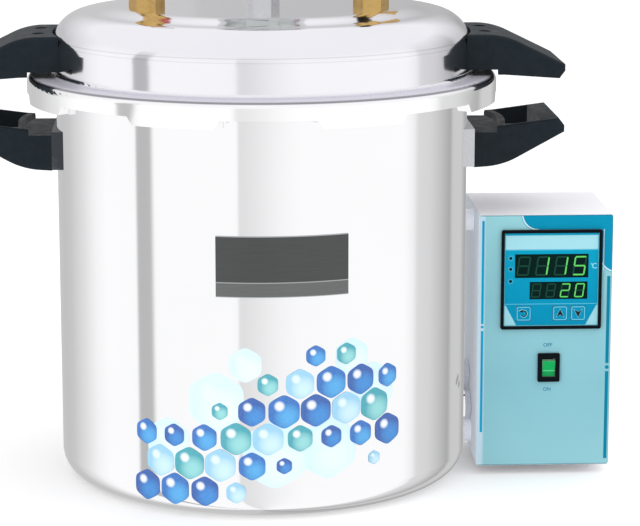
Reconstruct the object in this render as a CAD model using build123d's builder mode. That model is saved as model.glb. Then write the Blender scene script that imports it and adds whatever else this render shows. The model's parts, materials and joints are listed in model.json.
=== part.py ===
from build123d import *
from math import asin, atan2, cos, degrees, pi, radians, sin, sqrt
import os

# Portable autoclave: a bayonet-lidded aluminium pressure vessel with an immersion heater, and a control box
# that stands off its right-hand side. Millimetres, +Z up, front towards -Y. The origin is the centre of the
# vessel's base, where it stands.

# Reach of a cutting shape past the piece that it cuts, and of an added shape into the piece that it joins
overcut = 5.0
weld = 1.0

# Vessel
pot_radius = 146.0
pot_wall = 3.5
pot_floor = 4.0
pot_corner = 18.0
rim_top = 281.0
rim_thick = 5.0
rim_width = 7.5

# Bayonet lugs: the lid's lugs pass between the rim's and turn in under them. Widths and gaps are in degrees.
lug_count = 8
lug_phase = -67.5
lug_width = 20.0
lug_entry_gap = 1.95
lug_stop_gap = 0.8
lug_stop_width = 0.8
lug_stop_depth = 4.5
lug_thick = 4.7
lug_end_slope = 4.0
lug_slide_gap = 0.3
lug_rim_gap = 1.3
rim_lug_reach = 6.5

# Lid
lid_over_pot = 2.0
lid_wall = 3.5
lid_flange_thick = 4.0
skirt_gap = 3.2
skirt_wall = 3.3
skirt_round = 5.5
skirt_drop = 8.6
lid_root_round = 3.0
lid_straight = 19.5
lid_shoulder = 24.0
crown_rise = 4.0
crown_run = 24.0

# Gasket
gasket_thick = 4.1
gasket_width = 8.0
gasket_gap = 0.2

# Handles: one moulding, closed side up on the lid and closed side down on the vessel
handle_half_width = 42.0
handle_flat = 20.0
handle_reach = 63.5
handle_slope_drop = 21.2
handle_tip_face = 4.5
handle_chamfer_run = 4.0
handle_chamfer_drop = 5.4
handle_open_drop = 28.4
handle_shelf_drop = 24.5
handle_riser_gap = 2.5
handle_recess_wall = 4.0
handle_recess_reach = 47.0
handle_recess_side = 4.5
handle_recess_floor = 19.5
handle_round = 2.5
handle_slope_bend = 12.0
lid_handle_rise = 29.0
body_handle_drop = 51.3
body_handle_lean = 0.061
tang_drop = 9.0
tang_thick = 4.0
tang_half_width = 24.0
tang_length = 18.0
tang_gap = 0.15
bracket_plate = 2.5
bracket_top_drop = 5.0
bracket_foot_drop = 21.5
saddle_half_width = 42.0
saddle_low = 0.8
saddle_high = 27.5
handle_screw_set = 9.0
handle_screw_y = 17.0
handle_screw_radius = 2.5
screw_clearance = 0.2
screw_head_radius = 4.2
screw_head_height = 3.2
screw_head_sink = 4.2
screw_slot = 1.2
screw_past_tang = 1.5
screw_hole_past_tang = 4.0

# Rivets
rivet_radius = 2.5
rivet_head_radius = 4.5
rivet_head_height = 1.8
rivet_drop = 17.5
lid_rivet_y = 14.0
body_rivet_y = 20.0
rivet_seat_gap = 0.1
rivet_head_taper = 30.0
rivet_hole_stop = 0.6
rivet_end_gap = 0.2

# Label plate on the front of the vessel
plate_start = -13.9
plate_end = 21.5
plate_low = 155.5
plate_high = 197.0
plate_thick = 0.8

# Glands through the vessel wall, on raised flats
boss_radius = 11.0
boss_in = 5.8
boss_proud = 1.4
gland_shank = 6.5
gland_hole_gap = 0.1
gland_flange = 9.0
gland_flange_thick = 2.5
gland_seal_thick = 1.0
gland_nut_flats = 19.0
gland_nut_thick = 4.0
gland_proud = 9.6

# Heating element and probe
heater_tube = 4.0
heater_ring = 100.0
heater_near_y = 4.0
heater_far_y = 29.0
heater_bend = 14.0
heater_z = 41.0
heater_past_gland = 4.0
heater_pin_radius = 2.0
heater_pin_length = 8.0
probe_radius = 3.0
probe_y = 16.5
probe_z = 62.0
probe_reach = 38.5
probe_past_gland = 6.0
probe_tip_round = 2.5

# Chamber stand
stand_top = 74.0
stand_thick = 1.5
stand_gap = 12.5
stand_leg_count = 3
stand_leg_inset = 18.0
stand_leg_width = 20.0
stand_leg_thick = 3.0
stand_leg_start = 60.0
stand_hole_radius = 4.0
stand_inner_rows = (30.0, 54.0, 78.0)
stand_edge_row = 8.0
stand_hole_pitch = 22.0

# Basket and bail
basket_gap = 14.5
basket_wall = 1.0
basket_height = 130.0
basket_lift_gap = 0.3
basket_bead = 1.6
basket_hole_radius = 4.0
basket_hole_rows = (25.0, 50.0, 75.0, 100.0)
basket_holes_round = 24
basket_inner_rows = (26.0, 52.0, 78.0)
basket_edge_row = 24.0
basket_floor_pitch = 24.0
ear_half_width = 8.0
ear_thick = 2.0
ear_foot = 16.0
bail_wire = 2.0
bail_pin_gap = 0.06
bail_rest_gap = 0.3
bail_side_gap = 5.0
bail_rim_in = 3.0
bail_bend = 60.0
bail_pin_bend = 4.5
bail_pin_out = 2.0

# Pressure gauge on the middle of the lid
port_radius = 7.0
port_gap = 0.1
lock_nut_flats = 24.0
lock_nut_thick = 6.0
port_past_nut = 2.0
gauge_flats = 22.0
gauge_hex_height = 10.0
gauge_neck_radius = 6.0
gauge_neck_height = 12.0
gauge_neck_sink = 3.0
gauge_radius = 33.0
gauge_depth = 24.0
gauge_wall = 1.5
gauge_round = 3.0
gauge_pin_socket = 6.0
gauge_bezel_width = 3.0
gauge_bezel_depth = 6.0
gauge_bezel_out = 2.0
gauge_bezel_round = 0.6
gauge_dial_thick = 1.0
gauge_dial_set = 8.0
gauge_glass_thick = 2.0
gauge_glass_set = 1.2
needle_length = 24.0
needle_tail = 8.0
needle_width = 2.4
needle_thick = 0.8
needle_gap = 1.0
needle_hub = 3.0
needle_pin = 1.5
needle_pin_gap = 0.05
needle_pin_depth = 4.0
needle_start = 225.0

# Safety valve, left of the gauge
valve_inset = 19.0
valve_y = -8.0
valve_flats = 22.0
valve_hex_height = 8.0
valve_body_radius = 9.5
valve_body_height = 26.0
valve_bore = 7.0
valve_bore_floor = 9.0
valve_vent = 2.5
valve_side_vents = 4
valve_side_vent_radius = 2.0
valve_side_vent_rise = 10.0
valve_cap_radius = 10.5
valve_cap_height = 7.0
valve_cap_round = 1.5
valve_spring_wire = 0.8
valve_spring_radius = 4.6
valve_spring_turns = 5.0
valve_spring_clear = 0.3
valve_stem_radius = 2.4
valve_stem_gap = 0.06
valve_disc_radius = 6.0
valve_disc_thick = 2.5
valve_disc_gap = 0.1
valve_stem_rise = 9.0
pull_ring_radius = 9.0
pull_ring_wire = 1.5

# Steam release cock, right of the gauge
cock_inset = 23.0
cock_y = -8.0
cock_flats = 22.0
cock_hex_height = 8.0
cock_barrel_radius = 9.0
cock_barrel_height = 22.0
cock_spout_radius = 4.5
cock_spout_bore = 2.5
cock_spout_length = 22.0
cock_spout_height = 15.0
cock_spout_stop = 2.0
cock_spindle = 4.0
cock_spindle_gap = 0.06
cock_spindle_depth = 6.0
cock_spindle_end_gap = 0.5
lever_length = 34.0
lever_width = 9.0
lever_thick = 5.0
lever_lift = 0.3
lever_hub = 8.0
lever_round = 1.2

# Fusible plug, behind the gauge
plug_inset = 42.0
plug_flats = 17.0
plug_height = 7.0
plug_core_radius = 3.5
plug_core_sink = 1.0

# Control box
box_gap = 6.0
box_width = 95.7
box_depth = 91.0
box_height = 183.5
box_front = -40.6
box_bottom = 7.0
box_sheet = 1.2
box_round = 1.5
box_lip = 9.0
box_cable_hole_gap = 1.5
film_thick = 0.5
film_inset = 0.3

# Studs and bushes between the vessel and the box
stud_low_rise = 15.0
stud_high_drop = 10.5
stud_radius = 3.0
stud_length = 16.0
stud_gap = 0.1
bush_radius = 7.75
washer_radius = 6.5
washer_thick = 1.2
stud_nut_flats = 10.0
stud_nut_thick = 5.0

# Back cover, its screws and the mains inlet
cover_gap = 0.3
cover_screw_inset = 5.5
cover_screw_radius = 1.5
cover_screw_head = 2.8
cover_screw_head_height = 1.8
cover_screw_length = 6.0
inlet_rise = 38.0
inlet_width = 27.0
inlet_height = 19.6
inlet_flange_width = 50.0
inlet_flange_height = 24.0
inlet_flange_thick = 3.0
inlet_flange_round = 4.0
inlet_depth = 20.0
inlet_socket_width = 24.0
inlet_socket_height = 16.4
inlet_socket_depth = 17.0
inlet_pin_length = 11.0
inlet_pin_width = 2.0
inlet_pin_height = 4.0
inlet_pin_pitch = 7.0
inlet_earth_rise = 4.0
inlet_screw_pitch = 40.0

# Temperature controller, a 72 mm square panel instrument. What its face carries is measured from the bezel's
# left and bottom edges, and the windows are given as left, right, bottom and top.
bezel_size = 72.0
bezel_across_mid = 4.15
bezel_drop = 10.6
bezel_frame = 2.4
bezel_thick = 2.5
bezel_round = 1.6
bezel_edge = 0.5
instrument_size = 67.2
instrument_depth = 68.0
instrument_wall = 2.0
cutout_gap = 0.4
face_thick = 1.2
face_gap = 0.1
window_upper = (9.8, 62.3, 37.3, 54.5)
window_lower = (20.5, 61.9, 21.7, 34.4)
lamp_across = 6.8
lamp_heights = (51.6, 43.7, 34.9)
lamp_radius = 1.1
button_size = 10.6
button_gap = 0.25
button_height = 11.4
button_set_across = 16.5
button_up_across = 42.6
button_down_across = 55.5
button_round = 0.8
button_edge = 0.2
button_proud = 0.3
button_back = 1.9
button_switch_gap = 0.9
board_depth = 8.0
board_thick = 1.6
module_gap = 1.0
switch_size = 6.0
clamp_length = 18.0
clamp_width = 12.0
clamp_thick = 3.0

# Rocker switch
rocker_across_mid = 3.25
rocker_rise = 72.6
rocker_frame_width = 15.8
rocker_frame_height = 20.9
rocker_frame_round = 1.0
rocker_flange_thick = 2.0
rocker_body_width = 13.0
rocker_body_height = 18.6
rocker_body_depth = 18.0
rocker_open_width = 9.4
rocker_open_height = 13.8
rocker_side_gap = 0.2
rocker_half = 5.9
rocker_height = 4.0
rocker_valley = 0.9
rocker_draft = 1.2
rocker_swing = 12.0
rocker_pin = 1.0
rocker_pin_gap = 0.06
rocker_pin_wall = 0.6
rocker_pin_end_gap = 0.2
rocker_pivot_depth = 3.9
rocker_cavity_depth = 9.0
spade_width = 4.8
spade_thick = 0.8
spade_length = 7.0
spade_spread = 5.0

# Inside the control box
relay_width = 28.0
relay_depth = 36.0
relay_height = 32.0
relay_round = 1.5
relay_spades_across = 14.0
relay_spades_deep = 24.0
relay_side_gap = 2.5
relay_inlet_gap = 1.0
block_width = 30.0
block_depth = 22.0
block_height = 14.0
block_side_gap = 13.8
block_back_gap = 15.4
block_ways = 3
block_screw_radius = 3.0
block_screw_depth = 5.0

os.makedirs("parts", exist_ok=True)

# Places that follow from the sizes above
lug_pitch = 360.0 / lug_count
pot_inner = pot_radius - pot_wall
rim_radius = pot_radius + rim_width
rim_lug_radius = rim_radius + rim_lug_reach
rim_low = rim_top - rim_thick
rim_lug_tail = lug_width / 2 + lug_stop_gap + lug_stop_width
rim_lug_span = lug_pitch - lug_width - 2 * lug_entry_gap
rim_lug_start = lug_phase + lug_pitch / 2 - rim_lug_tail
flange_low = rim_top + gasket_thick + 2 * gasket_gap
flange_top = flange_low + lid_flange_thick
skirt_inner = rim_lug_radius + skirt_gap
skirt_radius = skirt_inner + skirt_wall
skirt_low = flange_low - skirt_drop
lug_top = rim_low - lug_slide_gap
lug_low = lug_top - lug_thick
lug_inner = rim_radius + lug_rim_gap
lid_radius = pot_radius + lid_over_pot
lid_inner = lid_radius - lid_wall
shoulder_z = flange_top + lid_straight
shoulder_x = lid_radius - lid_shoulder
crown_radius = shoulder_x - crown_run
lid_top = shoulder_z + lid_shoulder + crown_rise
lid_under = lid_top - lid_wall
handle_root = lid_radius
handle_flat_end = handle_root + handle_flat
handle_tip = handle_root + handle_reach
handle_riser_radius = skirt_radius + handle_riser_gap
handle_recess_arc = handle_riser_radius + handle_recess_wall
handle_recess_end = handle_root + handle_recess_reach
handle_screw_x = handle_root + handle_screw_set
tang_end = handle_root + tang_length
lid_handle_top = flange_top + lid_handle_rise
body_handle_bottom = rim_low - body_handle_drop
valve_x = -(crown_radius - valve_inset)
cock_x = crown_radius - cock_inset
plug_y = crown_radius - plug_inset
port_length = lid_wall + lock_nut_thick + port_past_nut
boss_inner = pot_inner - boss_in
boss_outer = pot_radius + boss_proud
gland_end = boss_outer + gland_proud
heater_end = gland_end + heater_past_gland
probe_tip = pot_inner - probe_reach
probe_end = gland_end + probe_past_gland
stand_radius = pot_inner - stand_gap
stand_leg_radius = stand_radius - stand_leg_inset
stand_hole_rows = stand_inner_rows + (stand_radius - stand_edge_row,)
basket_radius = pot_inner - basket_gap
basket_floor_rows = basket_inner_rows + (basket_radius - basket_edge_row,)
bail_side = basket_radius - basket_wall - bail_side_gap
bail_pin_end = basket_radius - basket_wall / 2 + ear_thick + bail_pin_out
bail_corner = basket_radius - bail_rim_in - bail_bend
bail_leg = sqrt(bail_corner**2 - (bail_side - bail_bend) ** 2)
near_bend_y = heater_near_y - heater_bend
near_bend_x = sqrt((heater_ring + heater_bend) ** 2 - near_bend_y**2)
near_bend_angle = degrees(atan2(near_bend_y, near_bend_x))
far_bend_y = heater_far_y + heater_bend
far_bend_x = sqrt((heater_ring + heater_bend) ** 2 - far_bend_y**2)
far_bend_angle = degrees(atan2(far_bend_y, far_bend_x))
box_left = pot_radius + box_gap
box_right = box_left + box_width
box_back_y = box_front + box_depth
box_top = box_bottom + box_height
box_mid_x = (box_left + box_right) / 2
box_mid_z = (box_bottom + box_top) / 2
film_front = box_front - film_thick
stud_z = (box_bottom + stud_low_rise, box_top - stud_high_drop)
stud_end = pot_radius + stud_length
bezel_x = box_mid_x + bezel_across_mid
bezel_z = box_top - bezel_drop - bezel_size / 2
bezel_left = bezel_x - bezel_size / 2
bezel_low = bezel_z - bezel_size / 2
face_size = bezel_size - 2 * bezel_frame
lamp_x = bezel_left + lamp_across
button_z = bezel_low + button_height
board_front = film_front + board_depth
rocker_x = box_mid_x + rocker_across_mid
rocker_z = box_bottom + rocker_rise
inlet_x = box_mid_x
inlet_z = box_bottom + inlet_rise
relay_x = box_right - box_sheet - relay_side_gap - relay_width / 2
relay_y = box_back_y - inlet_depth - relay_inlet_gap - relay_depth / 2
block_x = box_left + box_sheet + block_side_gap + block_width / 2
block_y = box_back_y - block_back_gap - block_depth / 2


def radial_plane(angle):
    """Upright plane through the Z axis, its X pointing outwards at the given angle."""
    a = radians(angle)
    return Plane(origin=(0, 0, 0), x_dir=(cos(a), sin(a), 0), z_dir=(sin(a), -cos(a), 0))


def seat_plane(angle, radius, height):
    """Plane at a radius and height that faces straight out from the Z axis, with its local Y up."""
    a = radians(angle)
    return Plane(
        origin=(radius * cos(a), radius * sin(a), height),
        x_dir=(-sin(a), cos(a), 0),
        z_dir=(cos(a), sin(a), 0),
    )


def side_plane(x):
    """Plane square to X at the given place, local X along +Y and local Y along +Z."""
    return Plane(origin=(x, 0, 0), x_dir=(0, 1, 0), z_dir=(1, 0, 0))


def front_plane(y):
    """Plane square to Y that faces the front, local X along +X and local Y along +Z."""
    return Plane(origin=(0, y, 0), x_dir=(1, 0, 0), z_dir=(0, -1, 0))


def finish(builder, name):
    """Label a finished piece and write its file."""
    builder.part.label = name
    export_step(builder.part, f"parts/{name}.step")


# Places of the rivets and screws of the handles, used by the pieces that they pass through
lid_rivet_angle = degrees(asin(lid_rivet_y / lid_radius))
body_rivet_angle = degrees(asin(body_rivet_y / pot_radius))
lid_rivet_angles = [side + s * lid_rivet_angle for side in (0, 180) for s in (1, -1)]
body_rivet_angles = [side + s * body_rivet_angle for side in (0, 180) for s in (1, -1)]
lid_rivet_z = lid_handle_top - rivet_drop
body_rivet_z = body_handle_bottom + rivet_drop
body_rivet_reach = (handle_root - rivet_hole_stop) / cos(radians(body_rivet_angle)) - pot_inner
gland_places = [(heater_near_y, heater_z), (heater_far_y, heater_z), (probe_y, probe_z)]
gland_bores = [heater_tube, heater_tube, probe_radius]
lid_ports = [(0, 0), (valve_x, valve_y), (cock_x, cock_y), (0, plug_y)]

# Vessel: a drawn pot with a turned-out rim, eight rim lugs with stops, and flats for the wall glands
with BuildPart() as vessel:
    with BuildSketch(Plane.XZ):
        with BuildLine():
            Line((0, 0), (pot_radius - pot_corner, 0))
            CenterArc((pot_radius - pot_corner, pot_corner), pot_corner, -90, 90)
            Line((pot_radius, pot_corner), (pot_radius, rim_low))
            Line((pot_radius, rim_low), (rim_radius, rim_low))
            Line((rim_radius, rim_low), (rim_radius, rim_top))
            Line((rim_radius, rim_top), (pot_inner, rim_top))
            inner_corner = pot_corner - pot_wall
            Line((pot_inner, rim_top), (pot_inner, pot_floor + inner_corner))
            CenterArc((pot_inner - inner_corner, pot_floor + inner_corner), inner_corner, 0, -90)
            Line((pot_inner - inner_corner, pot_floor), (0, pot_floor))
            Line((0, pot_floor), (0, 0))
        make_face()
    revolve(axis=Axis.Z)
    for k in range(lug_count):
        with BuildSketch(radial_plane(rim_lug_start + k * lug_pitch)):
            with Locations((rim_radius - weld, rim_low)):
                Rectangle(rim_lug_reach + weld, rim_thick, align=(Align.MIN, Align.MIN))
        revolve(axis=Axis.Z, revolution_arc=rim_lug_span)
        with BuildSketch(radial_plane(rim_lug_start + k * lug_pitch)):
            with Locations((rim_lug_radius, rim_low - lug_thick)):
                Rectangle(lug_stop_depth, lug_thick + weld, align=(Align.MAX, Align.MIN))
        revolve(axis=Axis.Z, revolution_arc=lug_stop_width)
    for y, z in gland_places:
        with BuildSketch(side_plane(boss_inner)):
            with Locations((y, z)):
                Circle(boss_radius)
        extrude(amount=boss_outer - boss_inner)
        with BuildSketch(side_plane(boss_inner)):
            with Locations((y, z)):
                Circle(boss_radius)
        extrude(amount=-boss_radius, mode=Mode.SUBTRACT)
        with BuildSketch(side_plane(boss_inner)):
            with Locations((y, z)):
                Circle(gland_shank + gland_hole_gap)
        extrude(amount=boss_outer - boss_inner, mode=Mode.SUBTRACT)
    with Locations(*[seat_plane(angle, pot_radius, body_rivet_z) for angle in body_rivet_angles]):
        Hole(rivet_radius, depth=2 * pot_wall)
finish(vessel, "vessel")

# Lid: a drawn cover with a rounded shoulder, a rolled flange and a skirt whose eight lugs turn inwards
with BuildPart() as lid:
    with BuildSketch(Plane.XZ):
        with BuildLine():
            Line((0, lid_top), (crown_radius, lid_top))
            Spline((crown_radius, lid_top), (shoulder_x, lid_top - crown_rise), tangents=[(1, 0), (1, 0)])
            CenterArc((shoulder_x, shoulder_z), lid_shoulder, 90, -90)
            Line((lid_radius, shoulder_z), (lid_radius, flange_top + lid_root_round))
            CenterArc((lid_radius + lid_root_round, flange_top + lid_root_round), lid_root_round, 180, 90)
            Line((lid_radius + lid_root_round, flange_top), (skirt_radius - skirt_round, flange_top))
            CenterArc((skirt_radius - skirt_round, flange_top - skirt_round), skirt_round, 90, -90)
            Line((skirt_radius, flange_top - skirt_round), (skirt_radius, lug_low))
            Line((skirt_radius, lug_low), (lug_inner, lug_low))
            Line((lug_inner, lug_low), (lug_inner, lug_top))
            Line((lug_inner, lug_top), (skirt_inner, lug_top))
            Line((skirt_inner, lug_top), (skirt_inner, flange_low))
            Line((skirt_inner, flange_low), (lid_inner, flange_low))
            Line((lid_inner, flange_low), (lid_inner, shoulder_z))
            CenterArc((shoulder_x, shoulder_z), lid_shoulder - lid_wall, 0, 90)
            inner_crown = ((shoulder_x, lid_under - crown_rise), (crown_radius, lid_under))
            Spline(*inner_crown, tangents=[(-1, 0), (-1, 0)])
            Line((crown_radius, lid_under), (0, lid_under))
            Line((0, lid_under), (0, lid_top))
        make_face()
    revolve(axis=Axis.Z)
    gap_low = skirt_radius * sin(radians((lug_pitch - lug_width) / 2))
    gap_high = gap_low - lug_end_slope
    gap_angles = [lug_phase + (k + 0.5) * lug_pitch for k in range(lug_count)]
    gap_planes = [seat_plane(angle, lug_inner - overcut, 0) for angle in gap_angles]
    with BuildSketch(*gap_planes):
        Polygon(
            (-gap_low, lug_low - overcut),
            (gap_low, lug_low - overcut),
            (gap_low, lug_low),
            (gap_high, skirt_low),
            (-gap_high, skirt_low),
            (-gap_low, lug_low),
            align=None,
        )
    extrude(amount=skirt_radius - lug_inner + 2 * overcut, mode=Mode.SUBTRACT)
    with Locations(*[(x, y, lid_top) for x, y in lid_ports]):
        Hole(port_radius + port_gap, depth=2 * lid_wall)
    with Locations(*[seat_plane(angle, lid_radius, lid_rivet_z) for angle in lid_rivet_angles]):
        Hole(rivet_radius, depth=2 * lid_wall)
finish(lid, "lid")

# Gasket: a moulded ring that lies on the rim under the lid's flange
with BuildPart() as gasket:
    with BuildSketch(Plane.XY.offset(rim_top + gasket_gap)):
        Circle(lid_inner + gasket_width)
        Circle(lid_inner, mode=Mode.SUBTRACT)
    extrude(amount=gasket_thick)
finish(gasket, "gasket")


def handle_shape(side, closed_z, up, lean, root_curve):
    """One moulded handle.

    side is 1 on the right and -1 on the left, closed_z is the height of the closed face at the root, up is
    the way that the open face lies, 1 or -1, and lean is how far the moulding tips that way for each
    millimetre of reach. root_curve is the radius of the wall that it seats on, or None for a flat saddle.
    """

    def at(x, drop):
        return (side * x, closed_z + up * (drop + lean * (x - handle_root)))

    inside = handle_root - handle_round - 2 * overcut
    shelf_z = closed_z + up * handle_shelf_drop
    shelf_z = shelf_z + up * lean * (handle_riser_radius - handle_root) / 2
    open_z = closed_z + up * (handle_open_drop + handle_tip * lean)
    with BuildPart() as handle:
        with BuildSketch(Plane.XZ):
            with BuildLine():
                slope = (handle_tip - handle_flat_end, handle_slope_drop)
                run = sqrt(slope[0] ** 2 + slope[1] ** 2)
                bend_x = handle_flat_end + handle_slope_bend * slope[0] / run
                bend_drop = handle_slope_bend * slope[1] / run
                start = at(handle_flat_end - handle_slope_bend, 0)
                flat = (side * handle_slope_bend, up * lean * handle_slope_bend)
                tip_top = handle_slope_drop + handle_tip_face
                Line(at(inside, 0), start)
                TangentArc(start, at(bend_x, bend_drop), tangent=flat)
                Line(at(bend_x, bend_drop), at(handle_tip, handle_slope_drop))
                Line(at(handle_tip, handle_slope_drop), at(handle_tip, tip_top))
                foot = at(handle_tip - handle_chamfer_run, tip_top + handle_chamfer_drop)
                Line(at(handle_tip, tip_top), foot)
                Line(foot, at(handle_riser_radius, handle_open_drop))
                Line(at(handle_riser_radius, handle_open_drop), at(inside, handle_open_drop))
                Line(at(inside, handle_open_drop), at(inside, 0))
            make_face()
        extrude(amount=handle_half_width, both=True)
        sides = handle.edges().filter_by(lambda e: abs(abs(e.center().Y) - handle_half_width) < 0.01)
        fillet(sides, handle_round)
        # The root is cut to its seat
        if root_curve is None:
            with BuildSketch(side_plane(side * handle_root)):
                with Locations((0, closed_z + up * handle_open_drop / 2)):
                    Rectangle(3 * handle_half_width, 3 * handle_open_drop)
            extrude(amount=-side * 2 * handle_root, mode=Mode.SUBTRACT)
        else:
            with BuildSketch(Plane.XY.offset(closed_z - 3 * handle_open_drop)):
                Circle(root_curve)
            extrude(amount=6 * handle_open_drop, mode=Mode.SUBTRACT)
        # The shelf that clears the lid's flange, with a riser concentric with it
        with BuildSketch(Plane.XY.offset(shelf_z)):
            Circle(handle_riser_radius)
        extrude(amount=up * 2 * handle_open_drop, mode=Mode.SUBTRACT)
        # The open recess
        recess_y = handle_half_width - handle_recess_side
        recess_x = sqrt(handle_recess_arc ** 2 - recess_y ** 2)
        with BuildSketch(Plane.XY.offset(closed_z + up * handle_recess_floor)):
            with BuildLine():
                Line((side * recess_x, -recess_y), (side * handle_recess_end, -recess_y))
                Line((side * handle_recess_end, -recess_y), (side * handle_recess_end, recess_y))
                Line((side * handle_recess_end, recess_y), (side * recess_x, recess_y))
                arc_middle = (side * handle_recess_arc, 0)
                ThreePointArc((side * recess_x, recess_y), arc_middle, (side * recess_x, -recess_y))
            make_face()
        extrude(amount=open_z - closed_z, mode=Mode.SUBTRACT)
        # The slot for the bracket's tang, and the pocket for its plate
        slot_z = closed_z + up * (tang_drop + tang_thick / 2)
        with BuildSketch(side_plane(side * (tang_end + tang_gap))):
            with Locations((0, slot_z)):
                Rectangle(2 * (tang_half_width + tang_gap), tang_thick + 2 * tang_gap)
        extrude(amount=-side * (tang_length + 2 * handle_round + 2 * overcut), mode=Mode.SUBTRACT)
        if root_curve is not None:
            with BuildSketch(side_plane(side * (root_curve + bracket_plate + tang_gap))):
                with Locations((0, closed_z + up * (bracket_top_drop + bracket_foot_drop) / 2)):
                    Rectangle(
                        2 * (tang_half_width + tang_gap),
                        bracket_foot_drop - bracket_top_drop + 2 * tang_gap,
                    )
            extrude(amount=-side * 2 * overcut, mode=Mode.SUBTRACT)
        # The screw holes, from the closed side
        with BuildSketch(Plane.XY.offset(closed_z - up * handle_round)):
            with Locations((side * handle_screw_x, handle_screw_y), (side * handle_screw_x, -handle_screw_y)):
                Circle(screw_head_radius + screw_clearance)
        extrude(amount=up * (handle_round + screw_head_sink), mode=Mode.SUBTRACT)
        with BuildSketch(Plane.XY.offset(closed_z)):
            with Locations((side * handle_screw_x, handle_screw_y), (side * handle_screw_x, -handle_screw_y)):
                Circle(handle_screw_radius + screw_clearance)
        extrude(amount=up * (tang_drop + tang_thick + screw_hole_past_tang), mode=Mode.SUBTRACT)
    return handle


# Handles: black moulded grips, the lid's pair open below and the vessel's pair open above
for name, side in (("lid_handle_right", 1), ("lid_handle_left", -1)):
    finish(handle_shape(side, lid_handle_top, -1, 0.0, lid_radius), name)
for name, side in (("body_handle_right", 1), ("body_handle_left", -1)):
    finish(handle_shape(side, body_handle_bottom, 1, body_handle_lean, None), name)

# Lid brackets: curved plates riveted to the lid, each with a tang inside its handle
lid_tang_z = lid_handle_top - tang_drop - tang_thick
with BuildPart() as lid_brackets:
    for side in (1, -1):
        with BuildSketch(Plane.XY.offset(lid_handle_top - bracket_foot_drop)):
            with Locations((side * (lid_radius - 2 * overcut), 0)):
                Rectangle(2 * (bracket_plate + 2 * overcut), 2 * tang_half_width)
            Circle(lid_radius + bracket_plate, mode=Mode.INTERSECT)
            Circle(lid_radius, mode=Mode.SUBTRACT)
        extrude(amount=bracket_foot_drop - bracket_top_drop)
        with BuildSketch(Plane.XY.offset(lid_tang_z)):
            with Locations((side * tang_end, 0)):
                Rectangle(
                    tang_length + 2 * overcut,
                    2 * tang_half_width,
                    align=(Align.MAX if side > 0 else Align.MIN, Align.CENTER),
                )
            Circle(lid_radius + bracket_plate - weld, mode=Mode.SUBTRACT)
        extrude(amount=tang_thick)
        with BuildSketch(Plane.XY.offset(lid_tang_z)):
            with Locations((side * handle_screw_x, handle_screw_y), (side * handle_screw_x, -handle_screw_y)):
                Circle(handle_screw_radius)
        extrude(amount=tang_thick, mode=Mode.SUBTRACT)
    for angle in lid_rivet_angles:
        with BuildSketch(seat_plane(angle, lid_inner, lid_rivet_z)):
            Circle(rivet_radius)
        extrude(amount=lid_wall + 2 * bracket_plate, mode=Mode.SUBTRACT)
finish(lid_brackets, "lid_brackets")

# Vessel saddles: cast pads between the round wall and the flat root of each body handle, with a tang
body_tang_z = body_handle_bottom + tang_drop
saddle_depth = handle_root - sqrt(pot_radius**2 - saddle_half_width**2) + pot_wall
with BuildPart() as vessel_saddles:
    for side in (1, -1):
        with BuildSketch(Plane.XY.offset(body_handle_bottom + saddle_low)):
            with Locations((side * handle_root, 0)):
                Rectangle(
                    saddle_depth,
                    2 * saddle_half_width,
                    align=(Align.MAX if side > 0 else Align.MIN, Align.CENTER),
                )
            Circle(pot_radius, mode=Mode.SUBTRACT)
        extrude(amount=saddle_high - saddle_low)
        with BuildSketch(Plane.XY.offset(body_tang_z)):
            with Locations((side * tang_end, 0)):
                Rectangle(
                    tang_length + weld,
                    2 * tang_half_width,
                    align=(Align.MAX if side > 0 else Align.MIN, Align.CENTER),
                )
        extrude(amount=tang_thick)
        with BuildSketch(Plane.XY.offset(body_tang_z)):
            with Locations((side * handle_screw_x, handle_screw_y), (side * handle_screw_x, -handle_screw_y)):
                Circle(handle_screw_radius)
        extrude(amount=tang_thick, mode=Mode.SUBTRACT)
    for angle in body_rivet_angles:
        with BuildSketch(seat_plane(angle, pot_inner, body_rivet_z)):
            Circle(rivet_radius)
        extrude(amount=body_rivet_reach, mode=Mode.SUBTRACT)
finish(vessel_saddles, "vessel_saddles")

# Rivets: domed heads inside, shanks flush in the bracket or blind in the saddle
with BuildPart() as lid_rivets:
    for angle in lid_rivet_angles:
        with BuildSketch(seat_plane(angle, lid_inner - rivet_seat_gap, lid_rivet_z)):
            Circle(rivet_radius)
        extrude(amount=lid_wall + bracket_plate)
        with BuildSketch(seat_plane(angle, lid_inner - rivet_seat_gap, lid_rivet_z)):
            Circle(rivet_head_radius)
        extrude(amount=-rivet_head_height, taper=rivet_head_taper)
finish(lid_rivets, "lid_rivets")

with BuildPart() as vessel_rivets:
    for angle in body_rivet_angles:
        with BuildSketch(seat_plane(angle, pot_inner - rivet_seat_gap, body_rivet_z)):
            Circle(rivet_radius)
        extrude(amount=body_rivet_reach - rivet_end_gap)
        with BuildSketch(seat_plane(angle, pot_inner - rivet_seat_gap, body_rivet_z)):
            Circle(rivet_head_radius)
        extrude(amount=-rivet_head_height, taper=rivet_head_taper)
finish(vessel_rivets, "vessel_rivets")


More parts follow.
